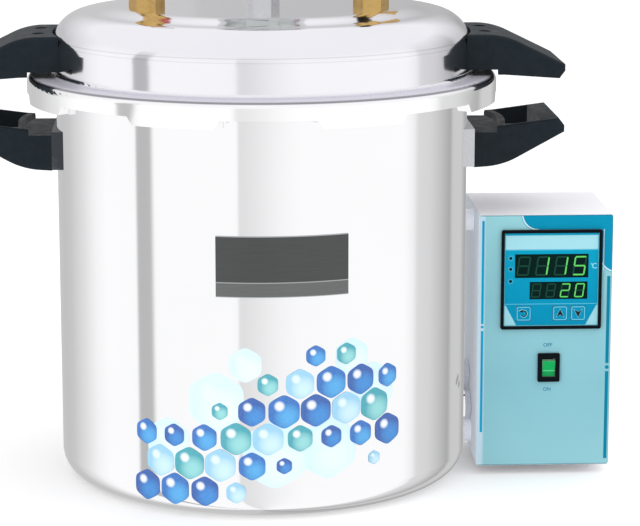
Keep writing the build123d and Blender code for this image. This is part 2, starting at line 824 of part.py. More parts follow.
def handle_screws(closed_z, up, tang_far):
    """Four slotted screws, two for each handle of a pair, sunk in its closed face."""
    head_z = closed_z + up * screw_head_sink
    with BuildPart() as screws:
        for side in (1, -1):
            for y in (handle_screw_y, -handle_screw_y):
                with BuildSketch(Plane.XY.offset(head_z)):
                    with Locations((side * handle_screw_x, y)):
                        Circle(screw_head_radius)
                extrude(amount=-up * screw_head_height)
                with BuildSketch(Plane.XY.offset(head_z)):
                    with Locations((side * handle_screw_x, y)):
                        Circle(handle_screw_radius)
                extrude(amount=tang_far - head_z)
                with BuildSketch(Plane.XY.offset(head_z - up * screw_head_height)):
                    with Locations((side * handle_screw_x, y)):
                        Rectangle(2 * (screw_head_radius + overcut), screw_slot)
                extrude(amount=up * screw_slot, mode=Mode.SUBTRACT)
    return screws


finish(handle_screws(lid_handle_top, -1, lid_tang_z - screw_past_tang), "lid_handle_screws")
body_screw_end = body_tang_z + tang_thick + screw_past_tang
finish(handle_screws(body_handle_bottom, 1, body_screw_end), "body_handle_screws")

# Label plate: a thin blank plate bonded to the front of the vessel
with BuildPart() as label_plate:
    with BuildSketch(radial_plane(-90 + plate_start)):
        with Locations((pot_radius, plate_low)):
            Rectangle(plate_thick, plate_high - plate_low, align=(Align.MIN, Align.MIN))
    revolve(axis=Axis.Z, revolution_arc=plate_end - plate_start)
finish(label_plate, "label_plate")

# Heating element: a sheathed ring over the floor with two legs out through the wall to the control box
with BuildPart() as heating_element:
    with BuildLine() as heater_path:
        with BuildLine(Plane.XY.offset(heater_z)):
            Line((heater_end, heater_far_y), (far_bend_x, heater_far_y))
            CenterArc((far_bend_x, far_bend_y), heater_bend, -90, far_bend_angle - 90)
            CenterArc((0, 0), heater_ring, far_bend_angle, 360 - far_bend_angle + near_bend_angle)
            CenterArc((near_bend_x, near_bend_y), heater_bend, 180 + near_bend_angle, -90 - near_bend_angle)
            Line((near_bend_x, heater_near_y), (heater_end, heater_near_y))
    with BuildSketch(side_plane(heater_end)):
        with Locations((heater_far_y, heater_z)):
            Circle(heater_tube)
    sweep(path=heater_path.wires()[0])
    with BuildSketch(side_plane(heater_end)):
        with Locations((heater_near_y, heater_z), (heater_far_y, heater_z)):
            Circle(heater_pin_radius)
    extrude(amount=heater_pin_length)
finish(heating_element, "heating_element")

# Wall glands: flanged sleeves through the vessel wall, two for the heater and one for the probe
with BuildPart() as wall_glands:
    flange_face = boss_inner - gland_seal_thick
    for (y, z), bore in zip(gland_places, gland_bores):
        with BuildSketch(side_plane(flange_face)):
            with Locations((y, z)):
                Circle(gland_flange)
                Circle(bore, mode=Mode.SUBTRACT)
        extrude(amount=-gland_flange_thick)
        with BuildSketch(side_plane(flange_face)):
            with Locations((y, z)):
                Circle(gland_shank)
                Circle(bore, mode=Mode.SUBTRACT)
        extrude(amount=gland_end - flange_face)
finish(wall_glands, "wall_glands")

with BuildPart() as gland_seals:
    with BuildSketch(side_plane(boss_inner)):
        for y, z in gland_places:
            with Locations((y, z)):
                Circle(gland_flange)
                Circle(gland_shank, mode=Mode.SUBTRACT)
    extrude(amount=-gland_seal_thick)
finish(gland_seals, "gland_seals")

with BuildPart() as gland_nuts:
    with BuildSketch(side_plane(boss_outer)):
        for y, z in gland_places:
            with Locations((y, z)):
                RegularPolygon(gland_nut_flats / 2, 6, major_radius=False)
                Circle(gland_shank, mode=Mode.SUBTRACT)
    extrude(amount=gland_nut_thick)
finish(gland_nuts, "gland_nuts")

# Temperature probe: a closed stainless tube with a rounded tip
with BuildPart() as temperature_probe:
    with BuildSketch(side_plane(probe_tip)):
        with Locations((probe_y, probe_z)):
            Circle(probe_radius)
    extrude(amount=probe_end - probe_tip)
    fillet(temperature_probe.edges().group_by(Axis.X)[0], probe_tip_round)
finish(temperature_probe, "temperature_probe")

# Chamber stand: a perforated plate on three strap legs that keeps the basket above the water
with BuildPart() as chamber_stand:
    with BuildSketch(Plane.XY.offset(stand_top - stand_thick)):
        Circle(stand_radius)
        for row in stand_hole_rows:
            row_holes = int(2 * pi * row / stand_hole_pitch)
            with PolarLocations(row, row_holes):
                Circle(stand_hole_radius, mode=Mode.SUBTRACT)
    extrude(amount=stand_thick)
    for k in range(stand_leg_count):
        leg_angle = stand_leg_start + k * 360.0 / stand_leg_count
        with BuildSketch(seat_plane(leg_angle, stand_leg_radius, pot_floor)):
            with Locations((0, 0)):
                Rectangle(stand_leg_width, 2 * (stand_top - stand_thick - pot_floor))
        extrude(amount=-stand_leg_thick)
    split(bisect_by=Plane.XY.offset(pot_floor), keep=Keep.TOP)
finish(chamber_stand, "chamber_stand")

# Instrument basket: a perforated bucket with a beaded rim and two ears for the bail
basket_low = stand_top + basket_lift_gap
basket_top = basket_low + basket_height
bail_z = basket_top + bail_wire + bail_rest_gap + basket_bead
with BuildPart() as basket:
    with BuildSketch(Plane.XY.offset(basket_low)):
        Circle(basket_radius)
        Circle(stand_hole_radius, mode=Mode.SUBTRACT)
        for row in basket_floor_rows:
            row_holes = int(2 * pi * row / basket_floor_pitch)
            with PolarLocations(row, row_holes):
                Circle(basket_hole_radius, mode=Mode.SUBTRACT)
    extrude(amount=basket_wall)
    with BuildSketch(Plane.XY.offset(basket_low)):
        Circle(basket_radius)
        Circle(basket_radius - basket_wall, mode=Mode.SUBTRACT)
    extrude(amount=basket_height)
    with BuildSketch(Plane.XZ):
        with Locations((basket_radius - basket_wall / 2, basket_top)):
            Circle(basket_bead)
    revolve(axis=Axis.Z)
    for side in (1, -1):
        with BuildSketch(side_plane(side * (basket_radius - basket_wall / 2))):
            with Locations((0, basket_top - ear_foot)):
                Rectangle(2 * ear_half_width, bail_z - basket_top + ear_foot, align=(Align.CENTER, Align.MIN))
            with Locations((0, bail_z)):
                Circle(ear_half_width)
        extrude(amount=side * ear_thick)
        with BuildSketch(side_plane(side * (basket_radius - overcut))):
            with Locations((0, bail_z)):
                Circle(bail_wire + bail_pin_gap)
        extrude(amount=side * 2 * overcut, mode=Mode.SUBTRACT)
    hole_planes = [
        seat_plane((k + row % 2 / 2 + 0.25) * 360.0 / basket_holes_round, basket_radius, basket_low + height)
        for row, height in enumerate(basket_hole_rows)
        for k in range(basket_holes_round)
    ]
    with Locations(*hole_planes):
        Hole(basket_hole_radius, depth=basket_wall + ear_thick)
finish(basket, "basket")

# Bail: a wire handle inside the ears, whose turned-out ends pivot in them, folded back on the rim
with BuildPart() as basket_bail:
    with BuildLine() as bail_path:
        with BuildLine(Plane.XY.offset(bail_z)):
            FilletPolyline(
                (bail_pin_end, 0),
                (bail_side, 0),
                (bail_side, bail_leg + bail_bend),
                (-bail_side, bail_leg + bail_bend),
                (-bail_side, 0),
                (-bail_pin_end, 0),
                radius=[bail_pin_bend, bail_bend, bail_bend, bail_pin_bend],
            )
    with BuildSketch(side_plane(bail_pin_end)):
        with Locations((0, bail_z)):
            Circle(bail_wire)
    sweep(path=bail_path.wires()[0])
finish(basket_bail, "basket_bail")

# Pressure gauge: a bottom-entry dial gauge that faces the front
gauge_hex_top = lid_top + gauge_hex_height
gauge_z = gauge_hex_top + gauge_neck_height + gauge_radius - gauge_neck_sink
gauge_front = -gauge_depth / 2
dial_back = gauge_front + gauge_dial_set
with BuildPart() as gauge_case:
    with BuildSketch(front_plane(gauge_front)):
        with Locations((0, gauge_z)):
            Circle(gauge_radius)
    extrude(amount=-gauge_depth)
    fillet(gauge_case.edges().sort_by(Axis.Y)[-1], gauge_round)
    with BuildSketch(Plane.XY.offset(gauge_hex_top)):
        Circle(gauge_neck_radius)
    extrude(amount=gauge_neck_height)
    with BuildSketch(front_plane(gauge_front)):
        with Locations((0, gauge_z)):
            Circle(gauge_radius - gauge_wall)
    extrude(amount=-(gauge_dial_set + gauge_dial_thick), mode=Mode.SUBTRACT)
    with BuildSketch(front_plane(gauge_front + gauge_dial_set + gauge_dial_thick)):
        with Locations((0, gauge_z)):
            Circle(needle_pin + needle_pin_gap)
    extrude(amount=-gauge_pin_socket, mode=Mode.SUBTRACT)
    with BuildSketch(Plane.XY.offset(lid_top)):
        RegularPolygon(gauge_flats / 2, 6, major_radius=False)
    extrude(amount=gauge_hex_height)
    with BuildSketch(Plane.XY.offset(lid_top)):
        Circle(port_radius)
    extrude(amount=-port_length)
finish(gauge_case, "gauge_case")

with BuildPart() as gauge_dial:
    with BuildSketch(front_plane(dial_back)):
        with Locations((0, gauge_z)):
            Circle(gauge_radius - gauge_wall)
            Circle(needle_pin + needle_pin_gap, mode=Mode.SUBTRACT)
    extrude(amount=-gauge_dial_thick)
finish(gauge_dial, "gauge_dial")

with BuildPart() as gauge_glass:
    with BuildSketch(front_plane(gauge_front + gauge_glass_set)):
        with Locations((0, gauge_z)):
            Circle(gauge_radius - gauge_wall)
    extrude(amount=-gauge_glass_thick)
finish(gauge_glass, "gauge_glass")

with BuildPart() as gauge_bezel:
    with BuildSketch(front_plane(gauge_front + gauge_bezel_depth)):
        with Locations((0, gauge_z)):
            Circle(gauge_radius + gauge_bezel_out)
            Circle(gauge_radius, mode=Mode.SUBTRACT)
    extrude(amount=gauge_bezel_depth)
    with BuildSketch(front_plane(gauge_front)):
        with Locations((0, gauge_z)):
            Circle(gauge_radius + gauge_bezel_out)
            Circle(gauge_radius - gauge_bezel_width, mode=Mode.SUBTRACT)
    extrude(amount=gauge_wall)
    fillet(gauge_bezel.edges().filter_by(GeomType.CIRCLE).sort_by(Axis.Y)[0:2], gauge_bezel_round)
finish(gauge_bezel, "gauge_bezel")

# Gauge needle: points down to the left at zero, and turns clockwise as the pressure rises
needle_face = dial_back - needle_gap
with BuildPart() as gauge_needle:
    with BuildSketch(front_plane(needle_face)):
        with Locations(Location((0, gauge_z), needle_start)):
            with Locations(((needle_length - needle_tail) / 2, 0)):
                Rectangle(needle_length + needle_tail, needle_width)
        with Locations((0, gauge_z)):
            Circle(needle_hub)
    extrude(amount=needle_thick)
    with BuildSketch(front_plane(needle_face)):
        with Locations((0, gauge_z)):
            Circle(needle_pin)
    extrude(amount=-(needle_gap + gauge_dial_thick + needle_pin_depth))
finish(gauge_needle, "gauge_needle")

# Safety valve: brass body with a spring-loaded disc, lifted for a test by the pull ring
valve_seat = lid_top + valve_bore_floor
valve_rim = lid_top + valve_hex_height + valve_body_height
with BuildPart() as safety_valve_body:
    with BuildSketch(Plane.XY.offset(lid_top)):
        with Locations((valve_x, valve_y)):
            RegularPolygon(valve_flats / 2, 6, major_radius=False)
    extrude(amount=valve_hex_height)
    with BuildSketch(Plane.XY.offset(lid_top + valve_hex_height)):
        with Locations((valve_x, valve_y)):
            Circle(valve_body_radius)
    extrude(amount=valve_body_height)
    with BuildSketch(Plane.XY.offset(lid_top)):
        with Locations((valve_x, valve_y)):
            Circle(port_radius)
    extrude(amount=-port_length)
    with BuildSketch(Plane.XY.offset(valve_seat)):
        with Locations((valve_x, valve_y)):
            Circle(valve_bore)
    extrude(amount=valve_rim - valve_seat, mode=Mode.SUBTRACT)
    with BuildSketch(Plane.XY.offset(lid_top - port_length)):
        with Locations((valve_x, valve_y)):
            Circle(valve_vent)
    extrude(amount=valve_seat - lid_top + port_length, mode=Mode.SUBTRACT)
    for k in range(valve_side_vents):
        a = radians((k + 0.5) * 360.0 / valve_side_vents)
        vent_origin = (valve_x, valve_y, valve_seat + valve_side_vent_rise)
        with BuildSketch(Plane(origin=vent_origin, z_dir=(cos(a), sin(a), 0))):
            Circle(valve_side_vent_radius)
        extrude(amount=valve_body_radius + overcut, mode=Mode.SUBTRACT)
finish(safety_valve_body, "safety_valve_body")

with BuildPart() as safety_valve_cap:
    with BuildSketch(Plane.XY.offset(valve_rim)):
        with Locations((valve_x, valve_y)):
            Circle(valve_cap_radius)
            Circle(valve_stem_radius + valve_stem_gap, mode=Mode.SUBTRACT)
    extrude(amount=valve_cap_height)
    top_rings = safety_valve_cap.edges().filter_by(GeomType.CIRCLE).group_by(Axis.Z)[-1]
    fillet(top_rings.sort_by(SortBy.RADIUS)[-1], valve_cap_round)
finish(safety_valve_cap, "safety_valve_cap")

# The stem's disc closes the vent, and the ring above the cap lifts it
disc_low = valve_seat + valve_disc_gap
stem_top = valve_rim + valve_cap_height + valve_stem_rise
with BuildPart() as safety_valve_stem:
    with BuildSketch(Plane.XY.offset(disc_low)):
        with Locations((valve_x, valve_y)):
            Circle(valve_disc_radius)
    extrude(amount=valve_disc_thick)
    with BuildSketch(Plane.XY.offset(disc_low)):
        with Locations((valve_x, valve_y)):
            Circle(valve_stem_radius)
    extrude(amount=stem_top - disc_low)
    ring_z = stem_top + pull_ring_radius - pull_ring_wire
    ring_plane = Plane(origin=(valve_x, valve_y, ring_z), z_dir=(0, -1, 0))
    with Locations(ring_plane):
        Torus(pull_ring_radius, pull_ring_wire)
finish(safety_valve_stem, "safety_valve_stem")

spring_low = disc_low + valve_disc_thick + valve_spring_wire + valve_spring_clear
spring_rise = valve_rim - valve_spring_wire - valve_spring_clear - spring_low
with BuildPart() as safety_valve_spring:
    with BuildLine() as spring_path:
        Helix(
            pitch=spring_rise / valve_spring_turns,
            height=spring_rise,
            radius=valve_spring_radius,
            center=(valve_x, valve_y, spring_low),
        )
    with BuildSketch(Plane(origin=spring_path.line @ 0, z_dir=spring_path.line % 0)):
        Circle(valve_spring_wire)
    sweep(path=spring_path.wires()[0], is_frenet=True)
finish(safety_valve_spring, "safety_valve_spring")

# Steam release cock: brass barrel with a side spout and a lever on its spindle
cock_rim = lid_top + cock_hex_height + cock_barrel_height
with BuildPart() as release_cock:
    with BuildSketch(Plane.XY.offset(lid_top)):
        with Locations((cock_x, cock_y)):
            RegularPolygon(cock_flats / 2, 6, major_radius=False)
    extrude(amount=cock_hex_height)
    with BuildSketch(Plane.XY.offset(lid_top + cock_hex_height)):
        with Locations((cock_x, cock_y)):
            Circle(cock_barrel_radius)
    extrude(amount=cock_barrel_height)
    with BuildSketch(Plane.XY.offset(lid_top)):
        with Locations((cock_x, cock_y)):
            Circle(port_radius)
    extrude(amount=-port_length)
    with BuildSketch(side_plane(cock_x)):
        with Locations((cock_y, lid_top + cock_spout_height)):
            Circle(cock_spout_radius)
    extrude(amount=cock_spout_length)
    with BuildSketch(side_plane(cock_x + cock_spout_length)):
        with Locations((cock_y, lid_top + cock_spout_height)):
            Circle(cock_spout_bore)
    extrude(amount=-(cock_spout_length - cock_spout_stop), mode=Mode.SUBTRACT)
    with BuildSketch(Plane.XY.offset(cock_rim)):
        with Locations((cock_x, cock_y)):
            Circle(cock_spindle + cock_spindle_gap)
    extrude(amount=-cock_spindle_depth, mode=Mode.SUBTRACT)
finish(release_cock, "release_cock")

lever_low = cock_rim + lever_lift
with BuildPart() as release_lever:
    with BuildSketch(Plane.XY.offset(lever_low)):
        with Locations((cock_x, cock_y)):
            Circle(lever_hub)
        with Locations((cock_x, cock_y - lever_length / 2)):
            Rectangle(lever_width, lever_length)
        with Locations((cock_x, cock_y - lever_length)):
            Circle(lever_width / 2)
    extrude(amount=lever_thick)
    fillet(release_lever.edges().group_by(Axis.Z)[-1], lever_round)
    with BuildSketch(Plane.XY.offset(lever_low)):
        with Locations((cock_x, cock_y)):
            Circle(cock_spindle)
    extrude(amount=-(cock_spindle_depth - cock_spindle_end_gap))
finish(release_lever, "release_lever")

# Fusible plug: melts and vents if the vessel boils dry
with BuildPart() as fusible_plug:
    with BuildSketch(Plane.XY.offset(lid_top)):
        with Locations((0, plug_y)):
            RegularPolygon(plug_flats / 2, 6, major_radius=False)
    extrude(amount=plug_height)
    with BuildSketch(Plane.XY.offset(lid_top)):
        with Locations((0, plug_y)):
            Circle(port_radius)
    extrude(amount=-port_length)
    with BuildSketch(Plane.XY.offset(lid_top + plug_height)):
        with Locations((0, plug_y)):
            Circle(plug_core_radius)
    extrude(amount=-plug_core_sink, mode=Mode.SUBTRACT)
finish(fusible_plug, "fusible_plug")

with BuildPart() as lid_lock_nuts:
    with BuildSketch(Plane.XY.offset(lid_under)):
        for x, y in lid_ports:
            with Locations((x, y)):
                RegularPolygon(lock_nut_flats / 2, 6, major_radius=False)
                Circle(port_radius, mode=Mode.SUBTRACT)
    extrude(amount=-lock_nut_thick)
finish(lid_lock_nuts, "lid_lock_nuts")

# Control box case: folded sheet, open at the back, with a return lip for the cover
instrument_hole = instrument_size + 2 * cutout_gap
rocker_hole_width = rocker_body_width + cutout_gap
rocker_hole_height = rocker_body_height + cutout_gap
lip_back = box_back_y - box_sheet
cover_width = box_width - 2 * box_sheet - 2 * cover_gap
cover_height = box_height - 2 * box_sheet - 2 * cover_gap
cover_screw_x = cover_width / 2 - cover_screw_inset
cover_screw_z = cover_height / 2 - cover_screw_inset
with BuildPart() as box_case:
    with BuildSketch(front_plane(box_back_y)):
        with Locations((box_mid_x, box_mid_z)):
            RectangleRounded(box_width, box_height, box_round)
    extrude(amount=box_depth)
    with BuildSketch(front_plane(box_back_y)):
        with Locations((box_mid_x, box_mid_z)):
            Rectangle(box_width - 2 * box_sheet, box_height - 2 * box_sheet)
    extrude(amount=box_depth - box_sheet, mode=Mode.SUBTRACT)
    with BuildSketch(front_plane(lip_back)):
        with Locations((box_mid_x, box_mid_z)):
            Rectangle(box_width - box_sheet, box_height - box_sheet)
            Rectangle(
                box_width - 2 * box_sheet - 2 * box_lip,
                box_height - 2 * box_sheet - 2 * box_lip,
                mode=Mode.SUBTRACT,
            )
    extrude(amount=box_sheet)
    with BuildSketch(front_plane(box_front)):
        with Locations((bezel_x, bezel_z)):
            Rectangle(instrument_hole, instrument_hole)
        with Locations((rocker_x, rocker_z)):
            Rectangle(rocker_hole_width, rocker_hole_height)
    extrude(amount=-box_sheet, mode=Mode.SUBTRACT)
    with BuildSketch(side_plane(box_left)):
        for y, z in gland_places:
            with Locations((y, z)):
                Circle(gland_shank + box_cable_hole_gap)
        for z in stud_z:
            with Locations((0, z)):
                Circle(stud_radius + stud_gap)
    extrude(amount=box_sheet, mode=Mode.SUBTRACT)
    with BuildSketch(front_plane(lip_back)):
        with Locations((box_mid_x, box_mid_z)):
            with GridLocations(2 * cover_screw_x, 2 * cover_screw_z, 2, 2):
                Circle(cover_screw_radius)
    extrude(amount=box_sheet, mode=Mode.SUBTRACT)
finish(box_case, "box_case")

# Back cover: a flat sheet on the case's lip, cut out for the mains inlet
with BuildPart() as box_cover:
    with BuildSketch(front_plane(box_back_y)):
        with Locations((box_mid_x, box_mid_z)):
            Rectangle(cover_width, cover_height)
            with GridLocations(2 * cover_screw_x, 2 * cover_screw_z, 2, 2):
                Circle(cover_screw_radius + stud_gap, mode=Mode.SUBTRACT)
        with Locations((inlet_x, inlet_z)):
            Rectangle(inlet_width + cutout_gap, inlet_height + cutout_gap, mode=Mode.SUBTRACT)
            with GridLocations(inlet_screw_pitch, 1, 2, 1):
                Circle(cover_screw_radius, mode=Mode.SUBTRACT)
    extrude(amount=box_sheet)
finish(box_cover, "box_cover")

# Screws of the back cover and of the inlet, all alike
with BuildPart() as panel_screws:
    with BuildSketch(front_plane(box_back_y)):
        with Locations((box_mid_x, box_mid_z)):
            with GridLocations(2 * cover_screw_x, 2 * cover_screw_z, 2, 2):
                Circle(cover_screw_head)
    extrude(amount=-cover_screw_head_height)
    with BuildSketch(front_plane(box_back_y)):
        with Locations((box_mid_x, box_mid_z)):
            with GridLocations(2 * cover_screw_x, 2 * cover_screw_z, 2, 2):
                Circle(cover_screw_radius)
    extrude(amount=cover_screw_length)
    with BuildSketch(front_plane(box_back_y + inlet_flange_thick)):
        with Locations((inlet_x, inlet_z)):
            with GridLocations(inlet_screw_pitch, 1, 2, 1):
                Circle(cover_screw_head)
    extrude(amount=-cover_screw_head_height)
    with BuildSketch(front_plane(box_back_y + inlet_flange_thick)):
        with Locations((inlet_x, inlet_z)):
            with GridLocations(inlet_screw_pitch, 1, 2, 1):
                Circle(cover_screw_radius)
    extrude(amount=cover_screw_length + inlet_flange_thick)
finish(panel_screws, "panel_screws")

# Mains inlet: a flanged three-pin socket on the back cover
with BuildPart() as mains_inlet:
    with BuildSketch(front_plane(box_back_y + inlet_flange_thick)):
        with Locations((inlet_x, inlet_z)):
            RectangleRounded(inlet_flange_width, inlet_flange_height, inlet_flange_round)
            with GridLocations(inlet_screw_pitch, 1, 2, 1):
                Circle(cover_screw_radius, mode=Mode.SUBTRACT)
    extrude(amount=inlet_flange_thick)
    with BuildSketch(front_plane(box_back_y)):
        with Locations((inlet_x, inlet_z)):
            Rectangle(inlet_width, inlet_height)
    extrude(amount=inlet_depth)
    with BuildSketch(front_plane(box_back_y + inlet_flange_thick)):
        with Locations((inlet_x, inlet_z)):
            Rectangle(inlet_socket_width, inlet_socket_height)
    extrude(amount=inlet_socket_depth, mode=Mode.SUBTRACT)
    with BuildSketch(front_plane(box_back_y + inlet_flange_thick - inlet_socket_depth)):
        with Locations(
            (inlet_x - inlet_pin_pitch, inlet_z - inlet_earth_rise / 2),
            (inlet_x + inlet_pin_pitch, inlet_z - inlet_earth_rise / 2),
            (inlet_x, inlet_z + inlet_earth_rise / 2),
        ):
            Rectangle(inlet_pin_width, inlet_pin_height)
    extrude(amount=-inlet_pin_length)
finish(mains_inlet, "mains_inlet")

# Front film: the printed film that covers the front of the case
with BuildPart() as front_film:
    with BuildSketch(front_plane(box_front)):
        with Locations((box_mid_x, box_mid_z)):
            RectangleRounded(box_width - 2 * film_inset, box_height - 2 * film_inset, box_round)
        with Locations((bezel_x, bezel_z)):
            Rectangle(instrument_hole, instrument_hole, mode=Mode.SUBTRACT)
        with Locations((rocker_x, rocker_z)):
            Rectangle(rocker_hole_width, rocker_hole_height, mode=Mode.SUBTRACT)
    extrude(amount=film_thick)
finish(front_film, "front_film")

# Studs welded to the vessel, with white bushes that hold the box off the hot wall
with BuildPart() as mounting_studs:
    for z in stud_z:
        with BuildSketch(side_plane(pot_inner)):
            with Locations((0, z)):
                Circle(stud_radius)
        extrude(amount=stud_end - pot_inner)
    with BuildSketch(Plane.XY):
        Circle(pot_radius)
    extrude(amount=rim_low, mode=Mode.SUBTRACT)
finish(mounting_studs, "mounting_studs")

with BuildPart() as spacer_bushes:
    for z in stud_z:
        with BuildSketch(side_plane(pot_inner)):
            with Locations((0, z)):
                Circle(bush_radius)
                Circle(stud_radius, mode=Mode.SUBTRACT)
        extrude(amount=box_left - pot_inner)
    with BuildSketch(Plane.XY):
        Circle(pot_radius)
    extrude(amount=rim_low, mode=Mode.SUBTRACT)
finish(spacer_bushes, "spacer_bushes")

with BuildPart() as stud_nuts:
    for z in stud_z:
        with BuildSketch(side_plane(box_left + box_sheet)):
            with Locations((0, z)):
                Circle(washer_radius)
                Circle(stud_radius, mode=Mode.SUBTRACT)
        extrude(amount=washer_thick)
        with BuildSketch(side_plane(box_left + box_sheet + washer_thick)):
            with Locations((0, z)):
                RegularPolygon(stud_nut_flats / 2, 6, major_radius=False)
                Circle(stud_radius, mode=Mode.SUBTRACT)
        extrude(amount=stud_nut_thick)
finish(stud_nuts, "stud_nuts")

# Controller bezel: the square black frame
with BuildPart() as controller_bezel:
    with BuildSketch(front_plane(film_front)):
        with Locations((bezel_x, bezel_z)):
            RectangleRounded(bezel_size, bezel_size, bezel_round)
            Rectangle(face_size + 2 * face_gap, face_size + 2 * face_gap, mode=Mode.SUBTRACT)
    extrude(amount=bezel_thick)
    fillet(controller_bezel.edges().group_by(Axis.Y)[0], bezel_edge)
finish(controller_bezel, "controller_bezel")

# Controller case: the deep box behind the panel
with BuildPart() as controller_case:
    with BuildSketch(front_plane(film_front + instrument_depth)):
        with Locations((bezel_x, bezel_z)):
            Rectangle(instrument_size, instrument_size)
    extrude(amount=instrument_depth)
    with BuildSketch(front_plane(film_front + instrument_depth - instrument_wall)):
        with Locations((bezel_x, bezel_z)):
            Rectangle(instrument_size - 2 * instrument_wall, instrument_size - 2 * instrument_wall)
    extrude(amount=instrument_depth, mode=Mode.SUBTRACT)
finish(controller_case, "controller_case")

button_places = [
    ("button_set", bezel_left + button_set_across),
    ("button_up", bezel_left + button_up_across),
    ("button_down", bezel_left + button_down_across),
]
windows = [
    (name, (bezel_left + x0, bezel_left + x1, bezel_low + z0, bezel_low + z1))
    for name, (x0, x1, z0, z1) in (("display_upper", window_upper), ("display_lower", window_lower))
]

# Controller face: a printed plate with two windows, three lamps and three button holes
with BuildPart() as controller_face:
    with BuildSketch(front_plane(film_front)):
        with Locations((bezel_x, bezel_z)):
            Rectangle(face_size, face_size)
        for name, (x0, x1, z0, z1) in windows:
            with Locations(((x0 + x1) / 2, (z0 + z1) / 2)):
                Rectangle(x1 - x0, z1 - z0, mode=Mode.SUBTRACT)
        for name, x in button_places:
            with Locations((x, button_z)):
                Rectangle(button_size + 2 * button_gap, button_size + 2 * button_gap, mode=Mode.SUBTRACT)
        for height in lamp_heights:
            with Locations((lamp_x, bezel_low + height)):
                Circle(lamp_radius, mode=Mode.SUBTRACT)
    extrude(amount=face_thick)
finish(controller_face, "controller_face")

for name, (x0, x1, z0, z1) in windows:
    with BuildPart() as window:
        with BuildSketch(front_plane(film_front)):
            with Locations(((x0 + x1) / 2, (z0 + z1) / 2)):
                Rectangle(x1 - x0, z1 - z0)
        extrude(amount=face_thick)
    finish(window, name)

with BuildPart() as indicator_lamps:
    with BuildSketch(front_plane(board_front)):
        for height in lamp_heights:
            with Locations((lamp_x, bezel_low + height)):
                Circle(lamp_radius)
    extrude(amount=board_depth + face_thick)
finish(indicator_lamps, "indicator_lamps")

# Circuit board with its display modules and key switches
with BuildPart() as circuit_board:
    board_size = instrument_size - 2 * instrument_wall
    with BuildSketch(front_plane(board_front + board_thick)):
        with Locations((bezel_x, bezel_z)):
            Rectangle(board_size, board_size)
    extrude(amount=board_thick)
    with BuildSketch(front_plane(board_front)):
        for name, x in button_places:
            with Locations((x, button_z)):
                Rectangle(switch_size, switch_size)
    extrude(amount=board_depth - button_back - button_switch_gap)
finish(circuit_board, "circuit_board")

with BuildPart() as display_modules:
    with BuildSketch(front_plane(board_front)):
        for name, (x0, x1, z0, z1) in windows:
            with Locations(((x0 + x1) / 2, (z0 + z1) / 2)):
                Rectangle(x1 - x0, z1 - z0 - module_gap)
    extrude(amount=board_depth)
finish(display_modules, "display_modules")

# Buttons: square keys that press in through the face
for name, x in button_places:
    with BuildPart() as button:
        with BuildSketch(front_plane(film_front + button_back)):
            with Locations((x, button_z)):
                RectangleRounded(button_size, button_size, button_round)
        extrude(amount=button_back + face_thick + button_proud)
        fillet(button.edges().group_by(Axis.Y)[0], button_edge)
    finish(button, name)

# Clamps: hook onto the top and bottom of the controller case and press on the back of the panel
with BuildPart() as controller_clamps:
    for side in (1, -1):
        with BuildSketch(front_plane(box_front + box_sheet + clamp_length)):
            with Locations((bezel_x, bezel_z + side * (instrument_size / 2 + clamp_thick / 2))):
                Rectangle(clamp_width, clamp_thick)
        extrude(amount=clamp_length)
        with BuildSketch(front_plane(box_front + box_sheet + clamp_thick)):
            with Locations((bezel_x, bezel_z + side * (instrument_size / 2 + clamp_thick))):
                Rectangle(clamp_width, 2 * clamp_thick)
        extrude(amount=clamp_thick)
finish(controller_clamps, "controller_clamps")

# Rocker switch frame: flange, body with the rocker's well, and two spade terminals
pivot_y = film_front - rocker_flange_thick + rocker_pivot_depth
with BuildPart() as rocker_frame:
    with BuildSketch(front_plane(film_front)):
        with Locations((rocker_x, rocker_z)):
            RectangleRounded(rocker_frame_width, rocker_frame_height, rocker_frame_round)
    extrude(amount=rocker_flange_thick)
    with BuildSketch(front_plane(film_front + rocker_body_depth)):
        with Locations((rocker_x, rocker_z)):
            Rectangle(rocker_body_width, rocker_body_height)
    extrude(amount=rocker_body_depth)
    with BuildSketch(front_plane(film_front - rocker_flange_thick)):
        with Locations((rocker_x, rocker_z)):
            Rectangle(rocker_open_width, rocker_open_height)
    extrude(amount=-(rocker_cavity_depth + rocker_flange_thick), mode=Mode.SUBTRACT)
    with BuildSketch(side_plane(rocker_x)):
        with Locations((pivot_y, rocker_z)):
            Circle(rocker_pin + rocker_pin_gap)
    extrude(amount=rocker_body_width / 2 - rocker_pin_wall, both=True, mode=Mode.SUBTRACT)
    with BuildSketch(front_plane(film_front + rocker_body_depth)):
        with Locations((rocker_x, rocker_z + spade_spread), (rocker_x, rocker_z - spade_spread)):
            Rectangle(spade_width, spade_thick)
    extrude(amount=-spade_length)
finish(rocker_frame, "rocker_frame")

# Rocker: stands with its lower half pressed, the side that switches on
swing = radians(rocker_swing)
rocker_plane = Plane(
    origin=(rocker_x - rocker_open_width / 2 + rocker_side_gap, pivot_y, rocker_z),
    x_dir=(0, -sin(swing), cos(swing)),
    z_dir=(1, 0, 0),
)
with BuildPart() as rocker:
    with BuildSketch(rocker_plane):
        Polygon(
            (-rocker_half, rocker_height),
            (0, rocker_height - rocker_valley),
            (rocker_half, rocker_height),
            (rocker_half - rocker_draft, -rocker_height / 2),
            (-rocker_half + rocker_draft, -rocker_height / 2),
            align=None,
        )
    extrude(amount=rocker_open_width - 2 * rocker_side_gap)
    with BuildSketch(side_plane(rocker_x)):
        with Locations((pivot_y, rocker_z)):
            Circle(rocker_pin)
    extrude(amount=rocker_body_width / 2 - rocker_pin_wall - rocker_pin_end_gap, both=True)
finish(rocker, "rocker")

